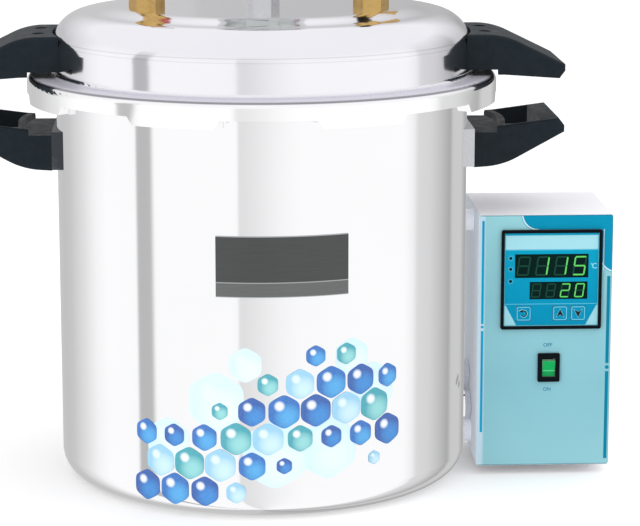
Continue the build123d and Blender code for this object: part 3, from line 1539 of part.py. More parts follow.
# Heater relay and terminal block, on the floor of the box
with BuildPart() as heater_relay:
    with BuildSketch(Plane.XY.offset(box_bottom + box_sheet)):
        with Locations((relay_x, relay_y)):
            Rectangle(relay_width, relay_depth)
    extrude(amount=relay_height)
    fillet(heater_relay.edges().filter_by(Axis.Z), relay_round)
    with BuildSketch(Plane.XY.offset(box_bottom + box_sheet + relay_height)):
        with Locations((relay_x, relay_y)):
            with GridLocations(relay_spades_across, relay_spades_deep, 2, 2):
                Rectangle(spade_width, spade_thick)
    extrude(amount=spade_length)
finish(heater_relay, "heater_relay")

with BuildPart() as terminal_block:
    with BuildSketch(Plane.XY.offset(box_bottom + box_sheet)):
        with Locations((block_x, block_y)):
            Rectangle(block_width, block_depth)
    extrude(amount=block_height)
    with BuildSketch(Plane.XY.offset(box_bottom + box_sheet + block_height)):
        with Locations((block_x, block_y)):
            with GridLocations(block_width / block_ways, block_depth / 2, block_ways, 2):
                Circle(block_screw_radius)
    extrude(amount=-block_screw_depth, mode=Mode.SUBTRACT)
finish(terminal_block, "terminal_block")
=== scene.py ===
import json
import math

import bmesh
import bpy
import numpy as np
from mathutils import Matrix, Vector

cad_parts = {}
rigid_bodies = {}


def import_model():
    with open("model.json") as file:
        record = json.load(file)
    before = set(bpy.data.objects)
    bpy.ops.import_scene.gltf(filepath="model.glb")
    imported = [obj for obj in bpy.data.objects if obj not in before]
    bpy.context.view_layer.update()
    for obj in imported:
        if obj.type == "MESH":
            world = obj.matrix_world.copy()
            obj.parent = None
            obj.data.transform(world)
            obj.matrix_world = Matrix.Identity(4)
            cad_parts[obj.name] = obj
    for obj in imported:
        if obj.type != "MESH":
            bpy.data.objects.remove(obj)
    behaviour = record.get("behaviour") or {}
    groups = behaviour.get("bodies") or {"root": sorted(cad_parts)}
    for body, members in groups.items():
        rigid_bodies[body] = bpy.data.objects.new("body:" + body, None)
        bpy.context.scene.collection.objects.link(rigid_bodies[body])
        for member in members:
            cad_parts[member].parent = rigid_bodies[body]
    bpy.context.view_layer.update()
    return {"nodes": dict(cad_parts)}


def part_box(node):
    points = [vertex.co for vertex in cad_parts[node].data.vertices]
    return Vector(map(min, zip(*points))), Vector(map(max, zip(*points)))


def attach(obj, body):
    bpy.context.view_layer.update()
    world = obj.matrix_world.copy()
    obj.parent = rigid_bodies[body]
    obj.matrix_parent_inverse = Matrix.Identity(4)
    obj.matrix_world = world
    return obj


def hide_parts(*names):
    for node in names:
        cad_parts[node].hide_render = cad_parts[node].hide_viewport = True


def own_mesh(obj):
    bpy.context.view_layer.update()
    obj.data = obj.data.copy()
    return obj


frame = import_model()
nodes = frame["nodes"]


# The pot: one sheet of aluminium drawn deep, with a heavy rim and eight bayonet lugs. It is mirror
# polished on a turning wheel, so the faint marks of the polish run round it, and it is a little duller
# where hands have wiped.


class Value:
    """A number inside a material. Arithmetic on it adds the Math nodes that work it out."""

    def __init__(self, nodes, socket):
        self.nodes = nodes
        self.socket = socket

    def math(self, operation, *terms):
        """Adds one Math node with these terms."""
        return self.nodes.node("ShaderNodeMath", {"operation": operation}, dict(enumerate(terms)))

    def __add__(self, other):
        return self.math("ADD", self, other)

    def __sub__(self, other):
        return self.math("SUBTRACT", self, other)

    def __rsub__(self, other):
        return self.math("SUBTRACT", other, self)

    def __mul__(self, other):
        return self.math("MULTIPLY", self, other)

    def __truediv__(self, other):
        return self.math("DIVIDE", self, other)

    def __gt__(self, other):
        return self.math("GREATER_THAN", self, other)

    def __abs__(self):
        return self.math("ABSOLUTE", self)

    def __or__(self, other):
        return self.math("MAXIMUM", self, other)

    __radd__ = __add__
    __rmul__ = __mul__


class Nodes:
    """The nodes of one material or of the world."""

    def __init__(self, tree):
        self.tree = tree

    def node(self, kind, settings=None, values=None, out=0):
        """Adds a node, makes its settings, then gives its sockets their values or links."""
        made = self.tree.nodes.new(kind)
        for key, value in (settings or {}).items():
            if key == "stops":
                stops = made.color_ramp.elements
                for place, colour in value[2:]:
                    stops.new(place)
                for stop, (place, colour) in zip(stops, value):
                    stop.position = place
                    stop.color = colour
            else:
                setattr(made, key, value)
        for key, value in (values or {}).items():
            if isinstance(value, Value):
                self.tree.links.new(value.socket, made.inputs[key])
            else:
                made.inputs[key].default_value = value
        return Value(self, made.outputs[out])

    def axes(self, point=None):
        """A point's three parts as values, or where none is given, X, Y and Z in metres."""
        if point is None:
            point = self.node("ShaderNodeTexCoord", out=3)
        split = self.node("ShaderNodeSeparateXYZ", {}, {0: point}).socket.node
        return [Value(self, split.outputs[k]) for k in range(3)]

    def noise(self, size, scale=(1, 1, 1), detail=3.0, rough=0.5):
        """Soft noise from 0 to 1, whose blotches are about size metres across before the stretch."""
        point = self.node("ShaderNodeTexCoord", out=3)
        place = self.node("ShaderNodeMapping", {}, {"Vector": point, "Scale": scale})
        values = {"Vector": place, "Scale": 1 / size, "Detail": detail, "Roughness": rough}
        return self.node("ShaderNodeTexNoise", {}, values)

    def span(self, value, low, high, to_low=0.0, to_high=1.0):
        """Carries a value from one range to another and holds it at the ends."""
        values = {0: value, 1: low, 2: high, 3: to_low, 4: to_high}
        return self.node("ShaderNodeMapRange", {"clamp": True}, values)

    def mix(self, factor, first, second):
        """One colour where the factor is 0 and the other where it is 1."""
        return self.node("ShaderNodeMix", {"data_type": "RGBA"}, {0: factor, 6: first, 7: second}, out=2)


class Finish(Nodes):
    """A material: one Principled shader, its fixed values by socket name, and the nodes that feed it."""

    def __init__(self, name, fixed):
        self.material = bpy.data.materials.new(name)
        self.material.use_nodes = True
        super().__init__(self.material.node_tree)
        self.shader = self.tree.nodes["Principled BSDF"]
        for socket, value in fixed.items():
            self.shader.inputs[socket].default_value = value

    def feed(self, socket, value):
        """Links a value to a socket of the Principled shader."""
        self.tree.links.new(value.socket, self.shader.inputs[socket])

    def bump(self, height, depth):
        """Feeds a height from 0 to 1, depth metres deep, to the shader's normal."""
        values = {"Height": height, "Distance": depth, "Strength": 1.0}
        self.feed("Normal", self.node("ShaderNodeBump", {}, values))


def ink(red, green, blue):
    """A colour given as it looks on a screen, 0 to 255, as the shader's own linear colour."""
    parts = []
    for part in (red, green, blue):
        share = part / 255
        parts.append(share / 12.92 if share <= 0.04045 else ((share + 0.055) / 1.055) ** 2.4)
    return (*parts, 1.0)


def dress(finish, *names):
    """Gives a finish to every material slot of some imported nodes."""
    for name in names:
        for slot in nodes[name].material_slots:
            slot.material = finish.material


def polished(name, colour, dull, streaks=(0.02, 0.02, 1)):
    """Polished aluminium, with faint rings round Z and softer patches where it has been wiped."""
    finish = Finish(name, {"Metallic": 1.0})
    wiped = finish.noise(0.09, detail=2.0)
    rings = finish.noise(0.0012, scale=streaks, detail=2.0)
    finish.feed("Base Color", finish.mix(wiped, ink(*colour), ink(*(part - 5 for part in colour))))
    finish.feed("Roughness", finish.span(wiped, 0.3, 0.7, dull, dull + 0.025) + rings * 0.02)
    finish.bump(rings, 0.000003)
    return finish


mirror = polished("mirror_aluminium", (250, 250, 251), 0.05)
dress(mirror, "vessel", "vessel_rivets")


# The printed pattern: a wave of small hexagon tiles round the foot of the pot, in blues and sea green,
# fired on as thin glassy enamel. Pale large tiles lie under the bright small ones.
wall_radius = 0.146
tile_pitch = 0.0218
tile_band = (0.020, 0.124)
tile_reach = (-0.088, 0.096)
largest_tile = 0.0107
tile_lift = 0.00016
tile_thick = 0.00042
under_lift = 0.00002
under_thick = 0.00012
wave_middle = 0.058
wave_height = 0.028
wave_shift = 0.012
wave_stretch = 0.036


def skin(name, points, joined=True, uv=None):
    """A mesh over grids of points, shaped (grids, rows, columns, 3). Four neighbours make one face.
    Where joined is true, each row's last point meets its first. Points that fall together are merged,
    which shuts poles."""
    grids, rows, columns = points.shape[:3]
    number = np.arange(grids * rows * columns).reshape(grids, rows, columns)
    right = np.roll(number, -1, axis=2) if joined else number[:, :, 1:]
    left = number if joined else number[:, :, :-1]
    faces = np.stack([left[:, :-1], right[:, :-1], right[:, 1:], left[:, 1:]], axis=-1).reshape(-1, 4)
    mesh = bpy.data.meshes.new(name)
    mesh.from_pydata(points.reshape(-1, 3).tolist(), [], faces.tolist())
    if uv is not None:
        layer = mesh.uv_layers.new(name="across")
        layer.data.foreach_set("uv", uv.reshape(-1, 2)[faces.ravel()].ravel())
    work = bmesh.new()
    work.from_mesh(mesh)
    bmesh.ops.remove_doubles(work, verts=work.verts, dist=0.000001)
    bmesh.ops.recalc_face_normals(work, faces=work.faces)
    work.to_mesh(mesh)
    work.free()
    return mesh


def fit(mesh, finish, body, edge=35):
    """Makes a mesh a piece, smooth but for edges sharper than edge degrees, and fixes it to a body."""
    mesh.shade_smooth()
    mesh.set_sharp_from_angle(angle=math.radians(edge))
    mesh.materials.append(finish.material)
    piece = bpy.data.objects.new(mesh.name, mesh)
    bpy.context.scene.collection.objects.link(piece)
    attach(piece, body)
    return piece


def tiles(name, across, up, size, lift, thick):
    """Domed hexagon tiles on the pot's wall. Round each centre a turn t from 0 to 360 degrees gives the
    rounded hexagon's radius, the inverse 10th root of the sum of the 10th powers of cos(t), cos(t + 60)
    and cos(t + 120), and a profile runs from the middle of its back over its rim to the middle of its
    dome."""
    turn = np.linspace(0, 2 * np.pi, 48, endpoint=False)
    sides = sum(np.abs(np.cos(turn + k * np.pi / 3)) ** 10 for k in range(3)) ** -0.1
    share = np.array([0, 1, 1, 0.985, 0.93, 0.82, 0.6, 0.3, 0])
    height = np.array([0, 0, 0.45, 0.6, 0.75, 0.86, 0.95, 1, 1]) * thick
    radius = share[None, :, None] * sides[None, None, :] * size[:, None, None]
    along = radius * np.cos(turn)
    above = radius * np.sin(turn)
    angle = (across[:, None, None] + along) / wall_radius
    out = wall_radius + lift + height[None, :, None]
    points = np.stack([out * np.sin(angle), -out * np.cos(angle), up[:, None, None] + above], axis=-1)
    uv = np.stack([along / size[:, None, None], above / size[:, None, None]], axis=-1)
    return skin(name, points, uv=uv)


def enamel(name, deep, bright, glint):
    """Glassy enamel: deep colour at the rim, with painted light brighter towards the foot and a painted
    glint above left.
    """
    finish = Finish(name, {"Roughness": 0.16, "Specular IOR Level": 0.25})
    across, up = finish.axes(finish.node("ShaderNodeUVMap", {"uv_map": "across"}))[:2]
    low_right = (across - 0.25) * (across - 0.25) + (up + 0.35) * (up + 0.35)
    high_left = (across + 0.3) * (across + 0.3) + (up - 0.38) * (up - 0.38)
    # Painted light: each tile is painted brighter towards its lower right, with a painted highlight
    # above left.
    glow = finish.span(low_right, 0.9, 0.05)
    painted_glint = finish.span(high_left, 0.14, 0.02) * glint
    speck = finish.noise(0.0009, detail=2.0)
    body = finish.mix(glow, ink(*deep), ink(*bright))
    body = finish.mix(speck * 0.12, body, ink(255, 255, 255))
    finish.feed("Base Color", finish.mix(painted_glint, body, ink(250, 254, 255)))
    return finish


# Rows of tiles are set half a pitch aside in turn. A tile is largest on the wave and smaller away from
# it, and tiles side by side take different enamels.
columns, rows = np.meshgrid(np.arange(9), np.arange(6))
tile_across = (tile_reach[0] + tile_pitch * (columns + 0.5 * (rows % 2))).ravel()
tile_up = (tile_band[0] + tile_pitch * math.sin(math.radians(60)) * rows).ravel()
wave = wave_middle + wave_height * np.sin((tile_across + wave_shift) / wave_stretch)
from_wave = np.abs(tile_up - wave)
tile_size = largest_tile * (1 - 0.66 * (from_wave / 0.040) ** 2)
kind = (columns.ravel() * 2 + rows.ravel() * 3 + columns.ravel() // 3) % 4
shown = (from_wave < 0.038) & (tile_across < tile_reach[1]) & (tile_up < tile_band[1])
colourings = (
    ("tiles_deep_blue", kind == 0, (22, 84, 164), (38, 132, 206), 0.9),
    ("tiles_sea_green", kind == 1, (52, 158, 172), (140, 208, 208), 0.85),
    ("tiles_mid_blue", kind == 2, (18, 104, 184), (66, 162, 222), 0.9),
    ("tiles_pale_blue", kind == 3, (146, 200, 228), (196, 228, 244), 0.6),
)
for name, chosen, deep, bright, glint in colourings:
    chosen = chosen & shown
    places = (tile_across[chosen], tile_up[chosen], tile_size[chosen])
    mesh = tiles(name, *places, tile_lift, tile_thick)
    fit(mesh, enamel(name, deep, bright, glint), "vessel")
under_across = np.array([-0.071, -0.036, 0.004, 0.041, 0.074, -0.016, 0.058])
under_up = np.array([0.052, 0.083, 0.047, 0.05, 0.088, 0.109, 0.112])
under_size = np.array([0.016, 0.019, 0.022, 0.02, 0.017, 0.011, 0.012])
mesh = tiles("tiles_under", under_across, under_up, under_size, under_lift, under_thick)
fit(mesh, enamel("tiles_under", (206, 234, 247), (222, 241, 250), 0.2), "vessel")


# The saddles: small aluminium castings between the round wall and the straight handles, riveted from
# inside. They are tumbled, not polished, so the skin of the mould shows as a fine grain. The left saddle
# is painted dark in patches, a painted shade and dark reflection for its place beside the handle.
cast = Finish("cast_aluminium", {"Metallic": 1.0})
x, y, z = cast.axes()
grain = cast.noise(0.0008, detail=4.0)
skin_of_mould = cast.mix(grain, ink(188, 190, 194), ink(222, 223, 227))
# Painted shade and dark reflection: the left saddle is painted dark in patches.
painted_shade_left = cast.span(x, 0.05, -0.05) * cast.span(cast.noise(0.02), 0.1, 0.4, 0.75, 0.95)
cast.feed("Base Color", cast.mix(painted_shade_left, skin_of_mould, ink(48, 52, 58)))
cast.feed("Roughness", cast.span(grain, 0.2, 0.8, 0.3, 0.5))
cast.bump(grain, 0.00004)
dress(cast, "vessel_saddles")


# The handles: black phenolic mouldings, satin from the mould and slightly mottled where the resin
# flowed.
bakelite = Finish("phenolic", {"Specular IOR Level": 0.1})
flow = bakelite.noise(0.007, detail=5.0, rough=0.65)
fine = bakelite.noise(0.0009, detail=2.0)
bakelite.feed("Base Color", bakelite.mix(flow, ink(12, 20, 24), ink(36, 44, 50)))
bakelite.feed("Roughness", bakelite.span(flow, 0.3, 0.7, 0.4, 0.58))
bakelite.bump(fine, 0.00003)
dress(bakelite, "body_handle_left", "body_handle_right", "lid_handle_left", "lid_handle_right")


# The screws, studs and nuts: steel, turned or cold headed and then plated, so the fine marks of the
# machine still show through the thin bright skin.
steel = Finish("plated_steel", {"Metallic": 1.0})
turned = steel.noise(0.0005, detail=3.0)
steel.feed("Base Color", steel.mix(turned, ink(176, 178, 182), ink(205, 206, 208)))
steel.feed("Roughness", steel.span(turned, 0.3, 0.7, 0.22, 0.36))
dress(steel, "body_handle_screws", "lid_handle_screws", "mounting_studs", "stud_nuts", "panel_screws")


# The label plate: thin aluminium, anodised dark grey and left blank, with a lighter strip along its
# foot and the grain of its rolling along it.
label_low, label_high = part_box("label_plate")
label = Finish("dark_anodising", {"Metallic": 0.55})
x, y, z = label.axes()
rolled = label.noise(0.0006, scale=(0.03, 0.03, 1), detail=3.0)
strip_top = label_low[2] + 0.24 * (label_high[2] - label_low[2])
edge_in = abs(z - (label_low[2] + label_high[2]) / 2) > (label_high[2] - label_low[2]) / 2 - 0.0005
dark = label.mix(rolled, ink(66, 68, 67), ink(82, 84, 83))
pale = label.mix(rolled, ink(96, 98, 97), ink(112, 114, 113))
body = label.mix(label.span(z, strip_top - 0.0002, strip_top + 0.0002), pale, dark)
ruled = label.span(abs(z - strip_top), 0.0004, 0.0002)
label.feed("Base Color", label.mix(edge_in | ruled, body, ink(168, 171, 173)))
label.feed("Roughness", label.span(rolled, 0.2, 0.8, 0.3, 0.42))
dress(label, "label_plate")


# The heater and its probe: stainless tubes that enter through the wall's glands. The ring has turned
# straw brown where it runs hottest, and a chalky bloom of scale lies on it.
heated = Finish("heater_sheath", {"Metallic": 1.0})
x, y, z = heated.axes()
scale = heated.noise(0.004, detail=5.0, rough=0.7)
hot = heated.span(x, 0.135, 0.09) * heated.noise(0.02)
sheath = heated.mix(hot, ink(186, 187, 190), ink(150, 136, 118))
heated.feed("Base Color", heated.mix(heated.span(scale, 0.55, 0.8), sheath, ink(206, 204, 198)))
heated.feed("Roughness", heated.span(scale, 0.3, 0.75, 0.24, 0.6))
heated.bump(scale, 0.00005)
dress(heated, "heating_element", "temperature_probe")


# The fittings on the lid: the cock, the safety valve's body, the fusible plug and their lock nuts, all
# turned from brass bar. Steam has browned them in patches.
brass = Finish("turned_brass", {"Metallic": 1.0})
lathe = brass.noise(0.0006, scale=(0.2, 0.2, 1), detail=3.0)
tarnish = brass.noise(0.009, detail=4.0)
bare = brass.mix(lathe, ink(198, 160, 92), ink(222, 188, 122))
brass.feed("Base Color", brass.mix(brass.span(tarnish, 0.5, 0.8) * 0.6, bare, ink(150, 112, 62)))
brass.feed("Roughness", brass.span(tarnish, 0.3, 0.8, 0.2, 0.42))
brass.bump(lathe, 0.00001)
dress(brass, "release_cock", "safety_valve_body", "fusible_plug", "lid_lock_nuts")


# The wall's glands: flanged brass sleeves, put through the wall from inside and held by hexagon nuts
# outside. They are plated with dull nickel, which heat has made cloudy.
nickel = Finish("dull_nickel", {"Metallic": 0.35})
cloud = nickel.noise(0.006, detail=4.0)
nickel.feed("Base Color", nickel.mix(cloud, ink(196, 199, 208), ink(216, 218, 226)))
nickel.feed("Roughness", nickel.span(cloud, 0.3, 0.7, 0.5, 0.66))
dress(nickel, "wall_glands", "gland_nuts")


# The gasket, a ring that lies on the pot's rim, and the washers under the glands' flanges: pale
# moulded silicone, with the faint powdery bloom that it gets from use.
rubber = Finish("moulded_silicone", {"Specular IOR Level": 0.4})
bloom = rubber.noise(0.003, detail=4.0)
rubber.feed("Base Color", rubber.mix(bloom, ink(196, 192, 182), ink(214, 211, 202)))
rubber.feed("Roughness", rubber.span(bloom, 0.3, 0.7, 0.45, 0.62))
rubber.bump(bloom, 0.00003)
dress(rubber, "gasket", "gland_seals")


# The stand, basket and bail: stainless sheet and wire, pierced and then brightened in an acid bath, so
# the surface is clean and soft with a slight grain across the sheet.
bright = Finish("bright_stainless", {"Metallic": 1.0})
sheet = bright.noise(0.0009, scale=(1, 0.06, 0.06), detail=3.0)
bath = bright.noise(0.03, detail=2.0)
bright.feed("Base Color", bright.mix(bath, ink(206, 207, 210), ink(222, 223, 225)))
bright.feed("Roughness", bright.span(sheet, 0.25, 0.75, 0.18, 0.34))
bright.bump(sheet, 0.00001)
dress(bright, "basket", "basket_bail", "chamber_stand")


# The lid: pressed from the same aluminium as the pot, polished a little softer and cooler, with two
# fine lines where the press left the crown's shoulder. Its flange is left satin, with a painted dark
# reflection in a line where the edge turns down, and a whiter painted reflection on the skirt below.
# The brackets and rivets are of the same metal.
lid_shine = Finish("lid_aluminium", {"Metallic": 1.0})
x, y, z = lid_shine.axes()
wiped = lid_shine.noise(0.07, detail=2.0)
rings = lid_shine.noise(0.0012, scale=(0.02, 0.02, 1), detail=2.0)
shoulder_line = 0.3152
lines_apart = 0.0028
flange_z = 0.2895
press_lines = lid_shine.span(abs(z - shoulder_line), 0.0005, 0.0001)
second_line = lid_shine.span(abs(z - shoulder_line + lines_apart), 0.0005, 0.0001)
press_lines = press_lines | second_line * 0.7
metal = lid_shine.mix(wiped, ink(246, 245, 249), ink(240, 239, 244))
# Painted reflection: below the flange's turn, the skirt and lugs are painted a whiter metal.
metal = lid_shine.mix(lid_shine.span(z, flange_z - 0.0012, flange_z - 0.0028), metal, ink(255, 255, 255))
on_flange = lid_shine.span(abs(z - flange_z), 0.0014, 0.0004)
metal = lid_shine.mix(on_flange, metal, ink(208, 206, 215))
# Painted dark reflection: a dark line painted just below the flange's top, where the edge turns down.
painted_dark_reflection = lid_shine.span(abs(z - flange_z + 0.0012), 0.0009, 0.0004)
metal = lid_shine.mix(painted_dark_reflection * 0.85, metal, ink(126, 124, 132))
lid_shine.feed("Metallic", 1 - on_flange * 0.6)
lid_shine.feed("Base Color", lid_shine.mix(press_lines * 0.35, metal, ink(176, 174, 184)))
soft_flange = on_flange * 0.28
lid_shine.feed("Roughness", lid_shine.span(wiped, 0.3, 0.7, 0.07, 0.11) + rings * 0.02 + soft_flange)
lid_shine.bump(rings, 0.000003)
dress(lid_shine, "lid", "lid_brackets", "lid_rivets")


# The gauge: a stainless case with a white printed dial behind glass. Numbers 0 to 3 stand round it
# over 270 degrees, with a red stretch at the top of the scale, and a black needle turns in front.
dial_low, dial_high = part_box("gauge_dial")
gauge_up = (dial_low[2] + dial_high[2]) / 2
dial_front = dial_low[1]
dial_radius = (dial_high[0] - dial_low[0]) / 2
print_gap = 0.00003
print_thick = 0.00012
zero_turn = 225.0
scale_turn = 270.0
number_radius = dial_radius - 0.0115
number_height = 0.0042
dress(bright, "gauge_case", "gauge_bezel")


def plates(name, outlines, back, thick):
    """Thin plates that face the front. Each outline is a list of points (across, up). Its front lies
    thick in front of its back, and a wall joins the two."""
    points = []
    faces = []
    for outline in outlines:
        outline = np.asarray(outline, float)
        count = len(outline)
        first = len(points)
        rear = np.stack([outline[:, 0], np.full(count, back), outline[:, 1]], axis=-1)
        points.extend(rear.tolist())
        points.extend((rear - [0, thick, 0]).tolist())
        around = np.arange(count)
        after = np.roll(around, -1)
        faces.append((first + around[::-1]).tolist())
        faces.append((first + count + around).tolist())
        walls = np.stack([around, after, after + count, around + count], axis=-1)
        faces.extend((first + walls).tolist())
    mesh = bpy.data.meshes.new(name)
    mesh.from_pydata(points, [], faces)
    work = bmesh.new()
    work.from_mesh(mesh)
    bmesh.ops.recalc_face_normals(work, faces=work.faces)
    work.to_mesh(mesh)
    work.free()
    return mesh


def ring_part(inner, outer, start, end, centre, steps=40):
    """The outline of part of a flat ring: out along the outer arc and back along the inner one."""
    turn = np.radians(np.linspace(start, end, steps))
    outward = np.stack([np.cos(turn), np.sin(turn)], axis=-1)
    return np.concatenate([outward * outer, outward[::-1] * inner]) + np.array(centre)


def lettering(name, words, height, across, up, back, thick):
    """Words in the plain built-in typeface, set upright with their middle at a place, as a mesh."""
    curve = bpy.data.curves.new(name, "FONT")
    curve.body = words
    curve.align_x = "CENTER"
    curve.align_y = "CENTER"
    curve.size = height / 0.7
    curve.extrude = thick / 2
    curve.resolution_u = 4
    curve.offset = height * 0.016
    holder = bpy.data.objects.new(name, curve)
    mesh = bpy.data.meshes.new_from_object(holder)
    bpy.data.objects.remove(holder)
    mesh.name = name
    upright = Matrix.Rotation(math.radians(90), 4, "X")
    mesh.transform(Matrix.Translation((across, back - thick / 2, up)) @ upright)
    return mesh


def print_ink(name, colour, rough=0.45):
    """A print, slightly uneven as ink lies on a plate."""
    finish = Finish(name, {"Specular IOR Level": 0.15})
    spread = finish.noise(0.0008, detail=3.0)
    lighter = ink(*(min(part + 10, 255) for part in colour))
    finish.feed("Base Color", finish.mix(spread, ink(*colour), lighter))
    finish.feed("Roughness", finish.span(spread, 0.3, 0.7, rough - 0.05, rough + 0.08))
    return finish


enamelled = Finish("dial_enamel", {"Coat Weight": 0.2})
speck = enamelled.noise(0.0007, detail=4.0)
enamelled.feed("Base Color", enamelled.mix(speck, ink(236, 236, 230), ink(247, 247, 243)))
enamelled.feed("Roughness", enamelled.span(speck, 0.3, 0.7, 0.35, 0.48))
dress(enamelled, "gauge_dial")

black_ink = print_ink("black_ink", (22, 22, 24))
red_ink = print_ink("red_ink", (196, 36, 34))
marks = []
for step in range(31):
    turn = math.radians(zero_turn - scale_turn * step / 30)
    length = 0.0048 if step % 10 == 0 else 0.0034 if step % 5 == 0 else 0.002
    half = 0.00032 if step % 10 == 0 else 0.0002
    outward = np.array([math.cos(turn), math.sin(turn)])
    aside = np.array([-outward[1], outward[0]]) * half
    outer = np.array([0, gauge_up]) + outward * (dial_radius - 0.0035)
    inner = outer - outward * length
    marks.append([outer - aside, outer + aside, inner + aside, inner - aside])
fit(plates("dial_marks", marks, dial_front - print_gap, print_thick), black_ink, "lid")
red_part = ring_part(dial_radius - 0.0031, dial_radius - 0.0018, -45, 22.5, (0, gauge_up))
fit(plates("dial_red_part", [red_part], dial_front - print_gap, print_thick), red_ink, "lid")
for number in range(4):
    turn = math.radians(zero_turn - scale_turn * number / 3)
    across = math.cos(turn) * number_radius
    up = gauge_up + math.sin(turn) * number_radius
    name = f"dial_number_{number}"
    mesh = lettering(name, str(number), number_height, across, up, dial_front - print_gap, print_thick)
    fit(mesh, black_ink, "lid")

clear = Finish("gauge_glass", {"Transmission Weight": 1.0, "IOR": 1.45})
smear = clear.noise(0.02, detail=2.0)
clear.feed("Base Color", clear.mix(smear, ink(246, 250, 250), ink(252, 254, 254)))
clear.feed("Roughness", clear.span(smear, 0.4, 0.8, 0.0, 0.03))
dress(clear, "gauge_glass")


# The safety valve: a turned brass body under a red moulded cap, with a steel stem and pull ring. The
# spring is wound from round steel wire and sits between the stem's disc and the cap. On the real valve
# it shortens as the ring is pulled; here the coil is fixed to the lid.
red_cap = Finish("red_moulding", {"Coat Weight": 0.15, "Coat Roughness": 0.1})
mould = red_cap.noise(0.0011, detail=3.0)
red_cap.feed("Base Color", red_cap.mix(mould, ink(172, 30, 32), ink(192, 42, 42)))
red_cap.feed("Roughness", red_cap.span(mould, 0.3, 0.7, 0.28, 0.42))
red_cap.bump(mould, 0.00002)
dress(red_cap, "safety_valve_cap")
dress(steel, "safety_valve_stem")

spring_low, spring_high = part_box("safety_valve_spring")
spring_wire = 0.0008
spring_turns = 5.0


def coil(name, low, high, wire, turns):
    """A round wire wound as a helix. Its middle line is (r cos t, r sin t, climb * t), and round each
    of its points a circle lies in the plane of the outward direction and the one square to it and to
    the line. The circle shrinks to a point at both ends."""
    centre = (low + high) / 2
    radius = (high[0] - low[0]) / 2 - wire
    bottom = low[2] + wire
    turn = np.linspace(0, 2 * np.pi * turns, int(turns * 30) + 1)
    climb = (high[2] - low[2] - 2 * wire) / turn[-1]
    size = np.full(turn.shape, wire)
    turn, size = np.concatenate([turn[:1], turn, turn[-1:]]), np.concatenate([[0], size, [0]])
    outward = np.stack([np.cos(turn), np.sin(turn), 0 * turn], axis=-1)
    aside = np.stack([-np.sin(turn), np.cos(turn), 0 * turn], axis=-1)
    along = aside * radius + [0, 0, climb]
    along /= np.linalg.norm(along, axis=-1)[:, None]
    across = np.cross(along, outward)
    middle = outward * radius + [centre[0], centre[1], bottom] + turn[:, None] * [0, 0, climb]
    round_wire = np.linspace(0, 2 * np.pi, 12, endpoint=False)[None, :, None]
    ring = outward[:, None] * np.cos(round_wire) + across[:, None] * np.sin(round_wire)
    return skin(name, (middle[:, None] + size[:, None, None] * ring)[None])


mesh = coil("valve_spring_wire", np.array(spring_low), np.array(spring_high), spring_wire, spring_turns)
valve_spring = fit(mesh, steel, "lid")
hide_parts("safety_valve_spring")
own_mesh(valve_spring)


# The control box's case: folded sheet steel with a lilac-white powder coat, whose skin has a soft orange
# peel. Its side beside the pot is painted bluer, a painted tint of the light that falls on it there.
case_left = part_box("box_case")[0][0]
powder = Finish("powder_coat", {"Specular IOR Level": 0.3})
x, y, z = powder.axes()
peel = powder.noise(0.0016, detail=2.0)
coat = powder.mix(powder.noise(0.05), ink(245, 244, 249), ink(249, 248, 252))
# Painted light: a bluish tint painted on the case's side that faces the pot.
painted_light_side = powder.span(x, case_left + 0.0008, case_left + 0.0003)
powder.feed("Base Color", powder.mix(painted_light_side, coat, ink(236, 245, 255)))
powder.feed("Roughness", powder.span(peel, 0.3, 0.7, 0.4, 0.5))
powder.bump(peel, 0.00004)
dress(powder, "box_case", "box_cover")


# The bushes that hold the box off the hot wall, and the terminal block inside it: white moulded nylon.
# It is a little translucent, and a weak glow on top of that is painted light that brightens the parts in
# shade.
nylon = Finish("white_nylon", {"Subsurface Weight": 0.1, "Subsurface Radius": (0.002, 0.002, 0.002),
                               "Emission Color": (0.78, 0.82, 0.94, 1), "Emission Strength": 0.16})
chill = nylon.noise(0.003, detail=3.0)
nylon.feed("Base Color", nylon.mix(chill, ink(240, 241, 248), ink(246, 247, 252)))
nylon.feed("Roughness", nylon.span(chill, 0.3, 0.7, 0.34, 0.48))
dress(nylon, "spacer_bushes", "terminal_block")


# The front film: polyester printed from behind and stuck over the whole front of the case. Its ground
# is a pale sea blue, with a deep blue corner swept round the instrument, and a thin broken stripe down
# each side.
film_low, film_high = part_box("front_film")
face_low, face_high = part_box("controller_face")
bezel_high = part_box("controller_bezel")[1]
film = Finish("front_film", {"Specular IOR Level": 0.08})
x, y, z = film.axes()
soft = 0.00012
corner_line = 0.00135
corner_pale = 0.00085


def between(nodes_of, value, low, high, ease):
    """1 where a value lies between two others and 0 outside, with an eased edge."""
    rise = nodes_of.span(value, low - ease, low + ease)
    return rise * nodes_of.span(value, high - ease, high + ease, 1, 0)


def disc(nodes_of, x, z, centre, radius, ease):
    """1 inside a disc on the front and 0 outside, with an eased edge."""
    across = x - centre[0]
    up = z - centre[1]
    square = across * across + up * up
    return nodes_of.span(square.math("SQRT", square), radius - ease, radius + ease, 1, 0)


weave = film.noise(0.0005, detail=2.0)
film_middle = (film_low[2] + film_high[2]) / 2
shade = film.span(abs(z - film_middle), 0.09, 0.03) * film.noise(0.08, detail=1.0)
ground = film.mix(film.span(z, film_low[2], film_high[2]), ink(145, 198, 207), ink(149, 206, 213))
ground = film.mix(shade, ground, ink(122, 179, 192))
margin = film.span(x, film_low[0] + 0.0030, film_low[0] + 0.0052, 1.0, 0.0)
ground = film.mix(margin * 0.75, ground, ink(206, 226, 240))
corner_left = (film_low[0] + 0.0420, film_high[2] + 0.0010)
corner_right = (film_high[0] + 0.0031, film_high[2] - 0.0297)
corner_radius = 0.011


